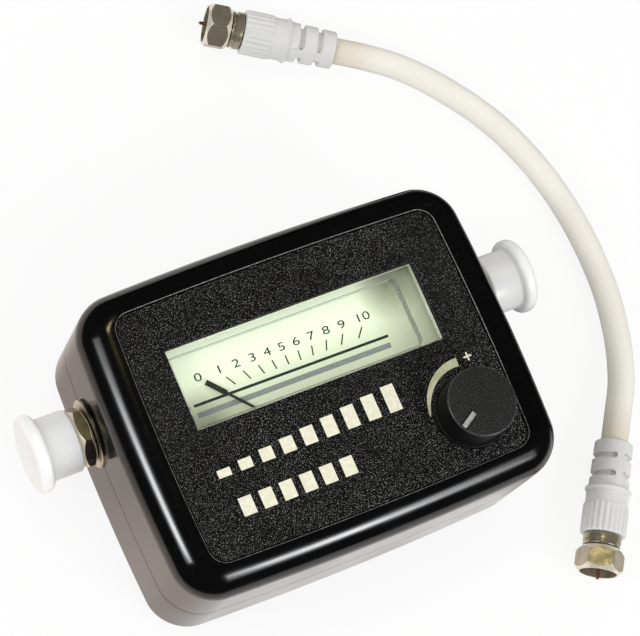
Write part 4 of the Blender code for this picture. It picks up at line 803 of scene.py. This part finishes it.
def makeCover():
    body = coverSkirt("meterCover", 0.0, cover["bottom"], cover["skirtTop"])
    length, width = window["length"] - 2 * cover["gap"], window["width"] - 2 * cover["gap"]
    low, high = cover["skirtTop"] - cover["wall"] / 2, cover["bossTop"]
    boss = block((length, width, high - low), (window["x"], window["y"], (high + low) / 2))
    roundOff(boss, uprightEdges(boss), cover["bossRound"], 2)
    combine(body, [place("boss", boss)], "UNION")
    low, high = cover["bottom"] - cover["hollowOverrun"], cover["skirtTop"] - cover["wall"]
    hollow = coverSkirt("coverHollow", cover["wall"], low, high)
    start = window["x"] - length / 2 + cover["wellLeft"]
    end = window["x"] + length / 2 - cover["wellRight"]
    combine(body, [hollow, wellTool(start, end)])
    softenEdges(body, cover["edge"], 2, 60.0)
    paintFaces(body, "frostedPlastic", lambda face: abs(face.normal.z) < 0.5)
    # The thick right-hand wall's inner face is tinted dark: painted shade
    paintFaces(body, "smokedPlastic", lambda face: face.normal.x < -0.3 and face.center.x > cover["thickWallX"])
    settle(body, "case", ("meter_cover",))


makePanelPrint()
makeWedge()
makeDialPrint()
makeCover()
print("window and prints made")


# Knob and its pointer
knob = {
    "radius": 0.00875, "skirtRadius": 0.0093, "skirtHeight": 0.0012, "low": 0.0449, "high": 0.0550,
    "round": 0.00055, "recessRadius": 0.0068, "recessHeight": 0.0026, "bore": 0.0033, "boreCover": 0.0016,
    "turnDeg": 211.0, "pointerFrom": 0.0038, "pointerWide": 0.0012, "pointerProud": 0.0004,
    "pointerDeep": 0.0010, "pointerGap": 0.0002, "steps": 128,
    # The pointer's rounded edges, and the inset and depth of each step in its crest
    "pointerRound": 0.0001, "crest": ((0.00022, 0.0), (0.00005, -0.00012)),
}


def makeKnob():
    low, high, rolled = knob["low"], knob["high"], knob["round"]
    skirtTop, recessTop = low + knob["skirtHeight"], low + knob["recessHeight"]
    boreTop = high - knob["boreCover"]
    profile = [
        (0.0, high), *arc((knob["radius"] - rolled, high - rolled), rolled, 90, 0, 5),
        (knob["radius"], skirtTop + 0.0003), (knob["radius"] + 0.00015, skirtTop),
        *arc((knob["skirtRadius"] - 0.0003, skirtTop - 0.0003), 0.0003, 90, 0, 3),
        (knob["skirtRadius"], low + 0.0001), (knob["skirtRadius"] - 0.0001, low), (knob["recessRadius"], low),
        (knob["recessRadius"], recessTop), (knob["bore"], recessTop), (knob["bore"], boreTop), (0.0, boreTop)]
    rest = moved(control["x"], control["y"], 0.0, math.radians(knob["turnDeg"]))
    body = place("knobBody", spun(profile, knob["steps"]), "satinBlack", rest)
    length = knob["radius"] - rolled - knob["pointerFrom"]
    wide, deep, gap = knob["pointerWide"], knob["pointerDeep"], knob["pointerGap"]
    middle = knob["pointerFrom"] + length / 2
    base = high + knob["pointerProud"] - deep
    groove = block((length + 2 * gap, wide + 2 * gap, deep + gap), (middle, 0.0, base + (deep - gap) / 2))
    combine(body, [place("groove", groove, None, rest)])
    paintFaces(body, "knobTop", lambda face: face.center.z > high - rolled / 2 and face.normal.z > 0.98)
    # The top rounding gets a lighter finish: a painted highlight arc
    paintFaces(body, "knobEdge", lambda face: face.center.z > high - rolled and 0.2 < face.normal.z < 0.98)
    settle(body, "knob", ("knob",))
    bar = block((length, wide, deep), (middle, 0.0, base + deep / 2))
    roundOff(bar, bar.edges[:], knob["pointerRound"], 2)
    crest = max(bar.faces, key=lambda face: (face.calc_center_median().z, face.calc_area()))
    for inset, depth in knob["crest"]:
        bmesh.ops.inset_region(bar, faces=[crest], thickness=inset, depth=depth)
    settle(place("pointerBar", bar, "pointerGrey", rest), "knob", ("knob_pointer",))


makeKnob()
print("knob made")


# Sockets on both ends, each with a washer, a hexagon nut and a soft cap
socket = {
    "radius": 0.00475, "root": 0.00432, "inner": 0.00355, "out": 0.0126, "back": -0.0080,
    "flangeRadius": 0.0066, "flangeTop": -0.0027, "flangeThick": 0.0020, "pitch": 0.00079, "steps": 72,
    "washerRadius": 0.0088, "washerLow": 0.0002, "washerHigh": 0.0008, "bore": 0.00505,
}
# The nuts of the sockets and of the plugs: how far the trim leaves each face flat, and the chamfer's angle
nutLooks = {
    "socket": {"flats": 0.0140, "bore": 0.00505, "edge": 0.0001, "flat": 0.92, "chamferDeg": 36.0,
               "finish": "nickel"},
    "plug": {"flats": 0.0110, "bore": 0.0034, "edge": 0.00009, "flat": 0.905, "chamferDeg": 50.0,
             "finish": "nickelTurned"},
}
socketNut = {"low": 0.0010, "high": 0.0048, "turnDeg": 39.5}


def threadRidge(core, crest, pitch, low, high, steps=40):
    # One unbroken helical ridge, swept along the axis as it turns
    bm = bmesh.new()
    points = ((core, 0.06), (crest, 0.44), (crest, 0.56), (core, 0.94))
    verts = [bm.verts.new((radius, 0.0, low + share * pitch)) for radius, share in points]
    edges = [bm.edges.new((verts[index], verts[(index + 1) % 4])) for index in range(4)]
    count = int(((high - low) / pitch - 1.0) * steps)
    bmesh.ops.contextual_create(bm, geom=edges)
    sweepRound(bm, bm.faces[:], math.tau / steps * count, count, dvec=(0.0, 0.0, pitch / steps))
    return bm


def hexNut(name, kind, low, high, turnDeg, matrix, counter=None):
    # A hexagon trimmed by a turned form, which leaves arcs on its faces
    # The counterbore is a radius and its reach
    look = nutLooks[kind]
    corner, face, bore = look["flats"] / math.sqrt(3.0), look["flats"] / 2 * look["flat"], look["bore"]
    bm = rod(corner, low, high, steps=6, turn=math.radians(turnDeg))
    first = min(bm.verts, key=lambda vert: abs(math.atan2(vert.co.y, vert.co.x)))
    offset = math.atan2(first.co.y, first.co.x) - math.radians(turnDeg)
    bmesh.ops.rotate(bm, verts=bm.verts[:], cent=(0, 0, 0), matrix=Matrix.Rotation(-offset, 3, "Z"))
    nut = place(name, bm, look["finish"])
    drop, wide = (corner - face) * math.tan(math.radians(look["chamferDeg"])), corner + 0.0002
    trim = spun([
        (0.0, high), (face, high), (wide, high - drop), (wide, low + drop), (face, low), (0.0, low)], 96)
    combine(nut, [place("trim", trim)], "INTERSECT")
    mouth, past = 0.00035, 0.001
    hole = spun([
        (0.0, high + past), (bore + mouth + past, high + past), (bore, high - mouth), (bore, low + mouth),
        (bore + mouth + past, low - past), (0.0, low - past)], 64)
    combine(nut, [place("hole", hole)], smoothDeg=28.0)
    if counter:
        combine(nut, [place("counter", rod(counter[0], low - past, counter[1], steps=64))], smoothDeg=28.0)
    softenEdges(nut, look["edge"], 2, 28.0)
    # The chamfer faces get the lighter copy of the nickel: a painted highlight
    paintFaces(nut, "nickelEdge", lambda one: 0.15 < abs(one.normal.z) < 0.97)
    nut.data.transform(matrix)
    return nut


def wallPlace(side):
    # Where the bowed side wall is met by the sockets' axis, with Z outwards
    halfY = case["width"] / 2 - case["crown"]
    reach = case["length"] / 2 - case["crown"] * (socketPlace["y"] / halfY) ** 2
    return moved(side * reach, socketPlace["y"], socketPlace["z"], side * math.pi / 2, "Y")


def makeSocket(label, side):
    matrix = wallPlace(side)
    inner, core, out, back, flange, flangeTop = (
        socket[name] for name in ("inner", "root", "out", "back", "flangeRadius", "flangeTop"))
    flangeLow = flangeTop - socket["flangeThick"]
    bm = spun([
        (core - 0.0003, out), (core, out - 0.0003), (core, flangeTop), (flange - 0.0002, flangeTop),
        (flange, flangeTop - 0.0002), (flange, flangeLow), (core, flangeLow), (core, back), (inner, back),
        (inner, out - 0.0003), (inner + 0.0003, out)], socket["steps"])
    ridge = threadRidge(core - 0.00002, socket["radius"], socket["pitch"], 0.0001, out - 0.0002)
    scrap = bpy.data.meshes.new("ridge")
    ridge.to_mesh(scrap)
    ridge.free()
    bm.from_mesh(scrap)
    bpy.data.meshes.remove(scrap)
    settle(place(f"socketBody_{label}", bm, "nickel", matrix), "case", (f"socket_body_{label}",))
    low, high, rim, bore = (socket[name] for name in ("washerLow", "washerHigh", "washerRadius", "bore"))
    bm = spun([(rim - 0.00015, high), (rim, high - 0.00015), (rim, low), (bore, low), (bore, high)], 96)
    settle(place(f"socketWasher_{label}", bm, "nickel", matrix), "case", (f"socket_washer_{label}",))
    nut = hexNut(
        f"socketNut_{label}", "socket", socketNut["low"], socketNut["high"], socketNut["turnDeg"], matrix)
    settle(nut, "case", (f"socket_nut_{label}",))


cap = {
    "mouth": 0.0051, "length": 0.0115, "radius": 0.0079, "skirt": 0.0010, "sleeve": 0.0010, "bore": 0.00505,
    "flangeRadius": 0.0098, "flange": 0.0036, "round": 0.0014, "endWall": 0.0022, "dish": 0.0003, "steps": 112,
    "soft": 0.0003,
}


def makeCap(label, side):
    mouth, bore, radius, rolled, soft = (cap[name] for name in ("mouth", "bore", "radius", "round", "soft"))
    end = mouth + cap["length"]
    low, dished, wall = end - cap["flange"], end - cap["dish"], end - cap["endWall"]
    inside, sleeve, reach = radius - cap["skirt"], bore + cap["sleeve"], cap["flangeRadius"] - rolled
    profile = [
        (0.0, dished), (reach * 0.55, dished), (reach * 0.75, end - 0.00005),
        *arc((reach, end - rolled), rolled, 90, 0, 8), *arc((reach, low + rolled), rolled, 0, -90, 8),
        (radius + 0.0004, low), (radius, low - 0.0004),
        *arc((radius - soft, mouth + soft), soft, 0, -90, 3),
        *arc((inside + soft, mouth + soft), soft, -90, -180, 3),
        (inside, low - soft), (inside - soft, low), (sleeve + soft, low), (sleeve, low - soft),
        (sleeve, mouth + 0.0008), (sleeve - 0.0002, mouth + 0.0006), (bore + 0.0002, mouth + 0.0006),
        (bore, mouth + 0.0008), (bore, wall - soft), (bore - soft, wall), (0.0, wall)]
    item = place(f"dustCap_{label}", spun(profile, cap["steps"]), "capMilky", wallPlace(side), 50.0)
    settle(item, f"dust_cap_{label}", (f"dust_cap_{label}",))


for label, side in (("left", -1), ("right", 1)):
    makeSocket(label, side)
    makeCap(label, side)
print("sockets made")


# Loose jumper lead: the same route as the part's, on one smooth curve
lead = {
    "radius": 0.00355, "axisHeight": 0.0064, "floorGap": 0.0003, "straight": 0.0085, "points": 150,
    # Each end: its tip, and the headings of the plug, of its nut and of its boot's slits
    "ends": {"a": ((0.0211, 0.1085), -30.8, -10.0, 143.0), "b": ((0.0592, -0.0671), 56.6, -15.0, 98.0)},
    "route": (
        (0.0679, 0.0801, 0.0019), (0.0746, 0.0743, 0.0010), (0.0801, 0.0682, 0.0003), (0.0852, 0.0613, 0.0),
        (0.0893, 0.0539, 0.0), (0.0926, 0.0457, 0.0), (0.0951, 0.0373, 0.0), (0.0967, 0.0289, 0.0),
        (0.0976, 0.0200, 0.0), (0.0977, 0.0113, 0.0), (0.0970, 0.0028, 0.0003), (0.0952, -0.0059, 0.0008),
        (0.0925, -0.0142, 0.0015), (0.0888, -0.0222, 0.0022)),
}
plug = {
    "pinProud": 0.0017, "pinRadius": 0.0005, "pinEnd": 0.0080, "pinTaper": 0.0004,
    "nutLength": 0.0066, "nutBore": 0.00475, "nutLip": 0.0014,
    "collarRadius": 0.0050, "collarLength": 0.0030, "neckRadius": 0.0031, "flangeRadius": 0.0043,
    "flangeThick": 0.001, "pinHole": 0.0014, "grooveDeep": 0.00045, "soft": 0.0003,
    "ferruleRadius": 0.0040, "ferruleLength": 0.0095, "gap": 0.0003,
}
boot = {
    "gripRadius": 0.0060, "gripLength": 0.0078, "ribs": 24, "ribDepth": 0.00048, "neckRadius": 0.0056,
    "neckLength": 0.0034, "ringRadius": 0.0061, "ringLength": 0.0014, "reliefRadius": 0.0053,
    "reliefEnd": 0.0050, "reliefLength": 0.0124, "core": 0.0040, "slotFirst": 0.0023, "slotPitch": 0.0049,
    "slotLength": 0.0016, "spineDeg": 24.0, "steps": 192, "soft": 0.0004, "edge": 0.00012,
}
bootStart = plug["pinProud"] + plug["nutLength"] + plug["collarLength"] + 2 * plug["gap"]
bootEnd = bootStart + boot["gripLength"] + boot["neckLength"] + boot["ringLength"] + boot["reliefLength"]


def plugFrame(tip, headingDeg):
    heading = math.radians(headingDeg)
    forward = Vector((math.cos(heading), math.sin(heading), 0.0))
    up = Vector((0.0, 0.0, 1.0))
    matrix = Matrix((up.cross(forward), up, forward)).transposed().to_4x4()
    matrix.translation = (tip[0], tip[1], lead["axisHeight"])
    return matrix


def smoothRoute(points, count):
    # A smooth curve through the points, read at even steps of its length
    fine = []
    for index in range(len(points) - 1):
        before, after = points[max(index - 1, 0)], points[min(index + 2, len(points) - 1)]
        first, last = points[index], points[index + 1]
        reach = (last - first).length / 3
        leave = (last - before).normalized() * reach
        arrive = (after - first).normalized() * reach
        fine += interpolate_bezier(first, first + leave, last - arrive, last, 24)[:-1]
    fine.append(points[-1])
    travelled = [0.0]
    for first, last in zip(fine[:-1], fine[1:]):
        travelled.append(travelled[-1] + (last - first).length)
    route, index = [], 0
    for step in range(count):
        target = travelled[-1] * step / (count - 1)
        while index < len(fine) - 2 and travelled[index + 1] < target:
            index += 1
        share = (target - travelled[index]) / (travelled[index + 1] - travelled[index])
        route.append(fine[index].lerp(fine[index + 1], share))
    return route, travelled[-1]


def makeCable():
    exits, straights = [], []
    for tip, headingDeg, *_ in lead["ends"].values():
        matrix = plugFrame(tip, headingDeg)
        exits.append(matrix @ Vector((0.0, 0.0, bootEnd + plug["gap"])))
        straights.append(matrix @ Vector((0.0, 0.0, bootEnd + plug["gap"] + lead["straight"])))
    floor = lead["radius"] + lead["floorGap"]
    resting = [Vector((x, y, floor + lift)) for x, y, lift in lead["route"]]
    points = [exits[0], straights[0], *resting, straights[1], exits[1]]
    route, length = smoothRoute(points, lead["points"])
    curve = configure(
        bpy.data.curves.new("leadCable", "CURVE"), dimensions="3D", bevel_depth=lead["radius"],
        bevel_resolution=8, use_fill_caps=True)
    spline = curve.splines.new("POLY")
    spline.points.add(len(route) - 1)
    for slot, point in zip(spline.points, route):
        slot.co = (*point, 1.0)
    spline.use_smooth = True
    cableIvory(exits)
    curve.materials.append(finishes["cableIvory"])
    item = addObject("leadCable", curve)
    settle(item, "lead", ("lead_cable",))
    return item, exits[0], length


def makePlug(label, tip, headingDeg, rollDeg, spineDeg):
    matrix = plugFrame(tip, headingDeg)
    pinRadius, pinEnd, gap, soft = (plug[name] for name in ("pinRadius", "pinEnd", "gap", "soft"))
    ferrule, collar, neck, flange = (
        plug[f"{name}Radius"] for name in ("ferrule", "collar", "neck", "flange"))
    nutBack = plug["pinProud"] + plug["nutLength"]
    pin = spun([
        (0.0, pinEnd), (pinRadius, pinEnd), (pinRadius, plug["pinTaper"]), (pinRadius * 0.55, 0.0001),
        (pinRadius * 0.3, 0.0), (0.0, 0.0)], 24)
    settle(place(f"plugPin_{label}", pin, "copper", matrix), "lead", (f"plug_pin_{label}",))
    lip = nutBack - plug["nutLip"]
    nut = hexNut(f"plugNut_{label}", "plug", plug["pinProud"], nutBack, rollDeg, matrix, (plug["nutBore"], lip))
    settle(nut, f"plug_nut_{label}", (f"plug_nut_{label}",))
    back, way, groove = lip - gap, pinRadius + 0.0002, collar - plug["grooveDeep"]
    low = nutBack + gap
    high = low + plug["collarLength"]
    end = high + plug["ferruleLength"]
    front, holeEnd = back - plug["flangeThick"], back + plug["pinHole"]
    body = spun([
        (0.0, end), (ferrule - 0.0002, end), (ferrule, end - 0.0002), (ferrule, high),
        *arc((collar - soft, high - soft), soft, 90, 0, 3),
        (collar, low + 0.0013), (groove, low + 0.0011), (groove, low + 0.0007), (collar - 0.0001, low + 0.0005),
        *arc((collar - 0.0004, low + soft), soft, 0, -90, 3),
        (neck, low), (neck, back), (flange, back), (flange, front), (way, front), (way, holeEnd),
        (0.0, holeEnd)], 80)
    settle(place(f"plugBody_{label}", body, "nickelTurned", matrix), "lead", (f"plug_body_{label}",))
    makeBoot(label, matrix, spineDeg)


def fluteGrip(bm, gripEnd):
    # Presses the flutes of the grip into its turned form
    for vert in bm.verts:
        reach = math.hypot(vert.co.x, vert.co.y)
        inside = min(vert.co.z - bootStart, gripEnd - 0.0005 - vert.co.z)
        if reach > boot["gripRadius"] - 0.0007 and inside > -0.00001:
            wave = 0.5 - 0.5 * math.cos(math.atan2(vert.co.y, vert.co.x) * boot["ribs"])
            share = (reach - boot["ribDepth"] * wave ** 2) / reach
            vert.co.x *= share
            vert.co.y *= share


def slitTools(low, startDeg):
    # The tools of one slit: a swept slot, and a round hole at each of its ends
    core, outer, wide = boot["core"], boot["reliefRadius"] + 0.001, boot["slotLength"]
    roundDeg = math.degrees(wide / 2 / boot["reliefRadius"])
    begin = math.radians(startDeg + boot["spineDeg"] / 2 + roundDeg)
    sweep = math.radians(180.0 - boot["spineDeg"] - 2 * roundDeg)
    bm = bmesh.new()
    corner = [(core, low), (outer, low), (outer, low + wide), (core, low + wide)]
    verts = [bm.verts.new((r * math.cos(begin), r * math.sin(begin), z)) for r, z in corner]
    sweepRound(bm, [bm.faces.new(verts)], sweep, 28)
    tools = [place("slot", bm)]
    for angle in (begin, begin + sweep):
        outwards = moved(0.0, 0.0, low + wide / 2, angle) @ Matrix.Rotation(math.pi / 2, 4, "Y")
        tools.append(place("slotEnd", rod(wide / 2 - 0.00001, core, outer, steps=24), None, outwards))
    return tools


def makeBoot(label, matrix, spineDeg):
    grip, neck, ring, relief = (boot[f"{name}Radius"] for name in ("grip", "neck", "ring", "relief"))
    start, end, soft = bootStart, bootEnd, boot["soft"]
    gripEnd = start + boot["gripLength"]
    neckEnd = gripEnd + boot["neckLength"]
    ringEnd = neckEnd + boot["ringLength"]
    bore, boreEnd = plug["ferruleRadius"] + plug["gap"], start + plug["ferruleLength"]
    bm = spun([
        (0.0, end), *arc((boot["reliefEnd"] - soft, end - soft), soft, 90, 0, 4),
        (relief, ringEnd + 0.0003), (relief + 0.0003, ringEnd),
        *arc((ring - soft, (neckEnd + ringEnd) / 2), soft, 70, -70, 6),
        (neck + 0.0001, neckEnd), (neck, neckEnd - 0.0002), (neck, gripEnd + 0.0003),
        (grip - 0.0001, gripEnd - 0.0001),
        *[(grip, gripEnd - step * boot["gripLength"] / 8) for step in range(1, 8)],
        *arc((grip - soft, start + soft), soft, 0, -90, 3), (bore, start), (bore, boreEnd), (0.0, boreEnd),
    ], boot["steps"])
    fluteGrip(bm, gripEnd)
    item = place(f"leadBoot_{label}", bm, "bootWhite", None, 50.0)
    tools = []
    for number in range(2):
        for turn in (0.0, 180.0):
            tools += slitTools(ringEnd + boot["slotFirst"] + number * boot["slotPitch"], spineDeg + turn)
    for tool in tools:
        combine(item, [tool], smoothDeg=50.0)
    softenEdges(item, boot["edge"], 2, 50.0)
    item.data.transform(matrix)
    settle(item, "lead", (f"lead_boot_{label}",))


leadCable, leadExit, leadLength = makeCable()
leadPieces = []
for label, end in lead["ends"].items():
    makePlug(label, *end)
    leadPieces += [f"leadBoot_{label}", f"plugBody_{label}", f"plugPin_{label}", f"plugNut_{label}"]
print("lead made, cable length", round(leadLength, 4))


# Case screws in their wells under the meter
screw = {
    "headLow": 0.0025, "headHigh": 0.0047, "headRadius": 0.0028, "round": 0.0006, "shank": 0.0015,
    "tip": 0.0290, "slotLong": 0.0036, "slotWide": 0.0008, "slotDeep": 0.0012, "stepDeg": 17.0, "edge": 0.00008,
}


def makeScrews():
    low, high, rim, rolled, shank, tip, long, wide = (screw[name] for name in (
        "headLow", "headHigh", "headRadius", "round", "shank", "tip", "slotLong", "slotWide"))
    for number, (x, y) in enumerate(bossSpots, 1):
        profile = [
            (0.0, tip), (shank * 0.5, tip - 0.0003), (shank, tip - 0.002), (shank, high), (rim, high),
            *arc((rim - rolled, low + rolled), rolled, 0, -90, 4), (0.0, low)]
        rest = moved(x, y, 0.0, math.radians(screw["stepDeg"] * number))
        head = place(f"caseScrew_{number}", spun(profile, 48), "steel", rest)
        combine(head, [
            place("slot", block((*size, 2 * screw["slotDeep"]), (0.0, 0.0, low)), None, rest)
            for size in ((long, wide), (wide, long))])
        softenEdges(head, screw["edge"])
        settle(head, "case", (f"case_screw_{number}",))


makeScrews()


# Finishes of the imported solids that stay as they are: most are named as their slot is
otherNames = {"black_satin": "satinBlack", "black_gloss": "glossBlack", "black_grain": "grainBlack"}


def dressSolids():
    for part in frame["record"]["subparts"]:
        node, slot = frame["nodes"].get(part["node"]), part["material_slot"]
        first, *rest = slot.split("_")
        name = otherNames.get(slot, first + "".join(word.capitalize() for word in rest))
        node.data.materials.clear()
        node.data.materials.append(finishes["needleBlack" if part["node"] == "needle" else name])


dressSolids()
print("packed solids dressed")


# Plain pale floor, a white surround and soft lamps
studio = {
    "floorSize": 6.0, "floorHeight": -0.0002, "floorGlow": 0.86,
    "floor": {"Base Color": (0.93, 0.93, 0.925), "Roughness": 0.9, "Specular IOR Level": 0.1},
    "sheetMiddle": (0.030, 0.030, 0.0), "sheetLevel": (0.78, 0.03, 0.170, 0.215),
    "sheetTint": (1.0, 0.965, 0.94), "frontBright": 1.28, "frontY": (-0.072, -0.056, -0.020, 0.0),
    "leftTint": (1.0, 0.87, 0.79), "leftX": (-0.0525, -0.0440),
    "skyDiffuse": 0.70, "skyGlossy": 0.026,
    "shadeX": (0.0, 0.96, 0.046, 0.058), "shadeY": (0.0, 1.0, -0.052, -0.036),
    # Each ring: length, width, radiance, shift along its length
    "lamps": {
        "left": {
            "toward": (-0.735, 0.155, 0.660), "colour": (0.96, 0.98, 1.0),
            "rings": ((0.14, 0.19, 11.0, 0.050), (0.21, 0.28, 4.2, 0.030), (0.34, 0.44, 1.6, 0.0))},
        "front": {
            "toward": (0.300, -0.720, 0.600), "colour": (0.97, 0.98, 1.0),
            "rings": ((0.13, 0.18, 11.0, -0.045), (0.26, 0.28, 4.2, -0.015), (0.52, 0.44, 1.5, 0.045))},
        "high": {
            "toward": (0.015, 0.332, 0.943), "colour": (1.0, 0.87, 0.42), "rings": ((0.17, 0.09, 8.0, 0.0),)},
    },
    "lampReach": 0.95, "ringStep": 0.01,
}


def makeStudio():
    finish = Finish("paleFloor", studio["floor"])
    path = finish.add("LightPath").outputs
    glossy, across, spread = path["Is Glossy Ray"], finish.axes(finish.spot), finish.spread
    seen = finish.maths("MAXIMUM", finish.maths("MULTIPLY", path["Is Camera Ray"], studio["floorGlow"]), glossy)
    # Reflections see a sheet that ends a little way round the meter
    fade = spread(finish.distance(studio["sheetMiddle"]), *studio["sheetLevel"])
    # and that has a painted shadow close beside the right-hand wall
    beside = finish.maths(
        "MULTIPLY", spread(across["X"], *studio["shadeX"]), spread(across["Y"], *studio["shadeY"]))
    shaded = finish.maths("MULTIPLY", fade, spread(beside, 1.0, 0.0))
    # It has a painted brighter patch before the front wall and a painted warm tint beside the left one, seen in
    # the walls' reflections
    before = finish.maths(
        "MULTIPLY", spread(across["Y"], 0.0, 1.0, *studio["frontY"][:2]),
        spread(across["Y"], 1.0, 0.0, *studio["frontY"][2:]))
    sheet = finish.maths("MULTIPLY", shaded, spread(before, 1.0, studio["frontBright"]))
    left = spread(across["X"], 1.0, 0.0, *studio["leftX"])
    warm = finish.blend(left, studio["sheetTint"], studio["leftTint"])
    glow = finish.add("Emission", {
        "Color": finish.blend(glossy, (1.0, 1.0, 1.0), warm), "Strength": finish.between(glossy, 1.0, sheet)})
    mixed = finish.mix(seen, finish.shader.outputs["BSDF"], glow.outputs["Emission"])
    # Seen from below it is clear, so the meter's back shows
    clear = finish.add("BsdfTransparent").outputs["BSDF"]
    finish.show(finish.mix(finish.add("NewGeometry").outputs["Backfacing"], mixed, clear))
    bm = bmesh.new()
    flatFace(bm, (studio["floorSize"], studio["floorSize"]), (0.0, 0.0), studio["floorHeight"])
    floor = place("studioFloor", bm, "paleFloor")
    if floor.data.polygons[0].normal.z < 0.0:
        floor.data.flip_normals()


def makeSky():
    world = bpy.data.worlds.new("studioSky")
    scene.world = world
    world.use_nodes = True
    nodes = Nodes(world.node_tree)
    path = nodes.add("LightPath").outputs
    level = nodes.between(path["Is Glossy Ray"], studio["skyDiffuse"], studio["skyGlossy"])
    seen = nodes.maths("MAXIMUM", path["Is Camera Ray"], path["Is Transmission Ray"])
    nodes.feed(world.node_tree.nodes["Background"], {
        "Color": (1.0, 1.0, 1.0), "Strength": nodes.between(seen, level, 1.0)})


def makeLamps():
    # Nested rectangles, the innermost brightest, so that each reflection fades towards its edges
    for name, look in studio["lamps"].items():
        toward = Vector(look["toward"]).normalized()
        turn = (-toward).to_track_quat("-Z", "Y")
        along = turn @ Vector((1.0, 0.0, 0.0))
        for number, (length, width, radiance, shift) in enumerate(look["rings"]):
            item = addObject(f"{name}_{number}", configure(
                bpy.data.lights.new(f"{name}_{number}", "AREA"), shape="RECTANGLE", size=length, size_y=width,
                energy=radiance * math.pi * length * width, color=look["colour"]))
            item.location = toward * (studio["lampReach"] + studio["ringStep"] * number) + along * shift
            item.rotation_euler = turn.to_euler()


makeStudio()
makeSky()
makeLamps()
print("studio made")

bpy.context.view_layer.update()
